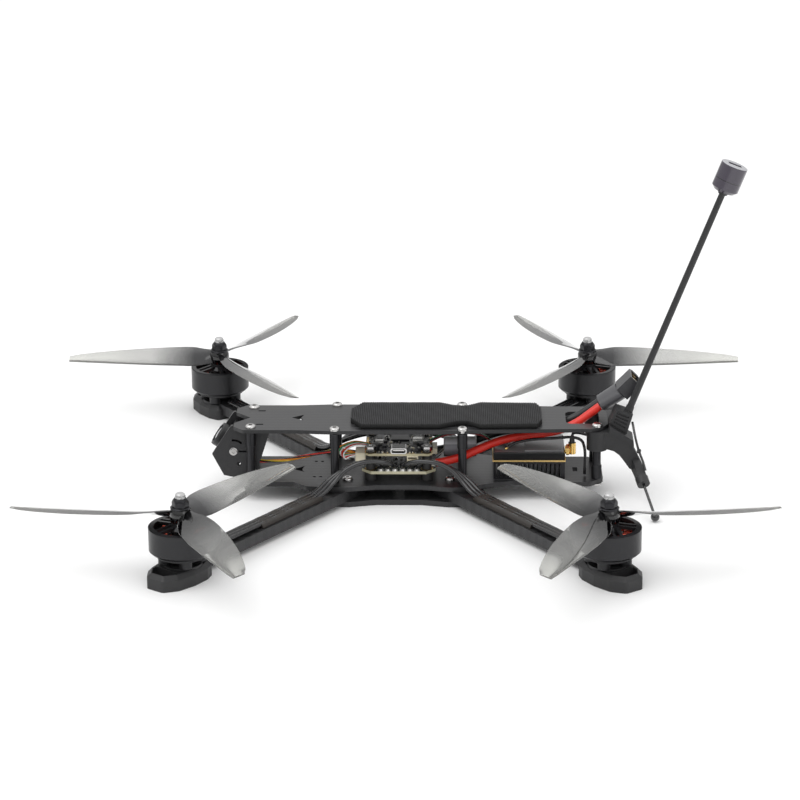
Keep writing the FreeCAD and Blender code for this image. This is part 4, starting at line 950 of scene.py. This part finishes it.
RED_ROUTE = [(20.1, -10.2, 19.0), (32, -9.8, 20.9), (44, -8.2, 26.6), (57, -6.2, 31.4), (72, -4.9, 33.3),
             (87, -4, 35.1), (97, -2.9, 39.5), (103.4, -1.4, 44.0), (109.4, -0.4, 48.3)]
BLACK_ROUTE = [(20.1, 10.2, 19.0), (32, 10.6, 20.8), (44, 9.6, 26.2), (57, 8.2, 31.1), (72, 7.1, 33.4),
               (87, 6.8, 35.1), (97, 6.8, 39.6), (103.4, 6.7, 44.0), (109.4, 6.7, 48.3)]
for name, route, material, node in (("red", RED_ROUTE, LEAD_RED, "battery_lead_red"),
                                    ("black", BLACK_ROUTE, LEAD_BLACK, "battery_lead_black")):
    lead = wire(f"power_lead_{name}", FRAME_BODY, material, route, 2.25, 6)
    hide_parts(node)


# ---------------------------------------------------------------- stage
# A white floor under a sky that is brightest overhead, a broad soft key from above and the left, and a
# weak fill.

def area_light(name, location, target, size, power):
    light = bpy.data.lights.new(name, "AREA")
    light.shape = "RECTANGLE"
    light.size = size[0]
    light.size_y = size[1]
    light.energy = power
    obj = bpy.data.objects.new(name, light)
    bpy.context.collection.objects.link(obj)
    obj.location = location
    obj.rotation_euler = (Vector(target) - Vector(location)).to_track_quat("-Z", "Y").to_euler()


bm = bmesh.new()
bmesh.ops.create_grid(bm, x_segments=1, y_segments=1, size=4.0)
floor_mesh = bpy.data.meshes.new("floor")
bm.to_mesh(floor_mesh)
bm.free()
floor_look = Look("floor_white", (0.93, 0.93, 0.93), 0.75)
floor_look.color(floor_look.mix(floor_look.noise(400.0), (0.92, 0.92, 0.92), (0.94, 0.94, 0.94)))
floor_mesh.materials.append(floor_look.material)
floor = bpy.data.objects.new("floor", floor_mesh)
bpy.context.collection.objects.link(floor)

world = bpy.data.worlds.new("white_room")
bpy.context.scene.world = world
world.use_nodes = True
sky = world.node_tree
up = sky.nodes.new("ShaderNodeSeparateXYZ")
sky.links.new(sky.nodes.new("ShaderNodeTexCoord").outputs["Generated"], up.inputs[0])
ramp = sky.nodes.new("ShaderNodeMapRange")
for key, value in (("From Min", 0.0), ("From Max", 0.8), ("To Min", 0.5), ("To Max", 1.2)):
    ramp.inputs[key].default_value = value
sky.links.new(up.outputs[2], ramp.inputs["Value"])
sky.links.new(ramp.outputs["Result"], sky.nodes["Background"].inputs["Strength"])
sky.nodes["Background"].inputs["Color"].default_value = (1, 1, 1, 1)
area_light("key", (-0.7, -0.5, 1.6), (0, 0, 0), (1.6, 1.2), 9.0)
area_light("fill", (1.2, -1.4, 0.9), (0, 0, 0.03), (0.9, 0.9), 3.0)
bpy.context.scene.view_settings.view_transform = "Standard"


# ---------------------------------------------------------------- camera
# A long lens from the left side, looking down a little.

CAMERA_AT = Vector((30.9, -1485.5, 568.2)) * MM
PITCH = math.radians(19.17)
YAW = math.radians(-1.17)
ROLL = math.radians(-0.37)
forward = Vector((math.cos(PITCH) * math.sin(YAW), math.cos(PITCH) * math.cos(YAW), -math.sin(PITCH)))
level = Vector((math.cos(YAW), -math.sin(YAW), 0))
above = level.cross(forward)
right = level * math.cos(ROLL) + above * math.sin(ROLL)
upward = above * math.cos(ROLL) - level * math.sin(ROLL)
camera_data = bpy.data.cameras.new("camera")
camera_data.sensor_width = 36
camera_data.lens = 129.9
camera = bpy.data.objects.new("main_camera", camera_data)
bpy.context.collection.objects.link(camera)
turn = Matrix((right, upward, -forward)).transposed().to_4x4()
camera.matrix_world = Matrix.Translation(CAMERA_AT) @ turn
bpy.context.scene.camera = camera
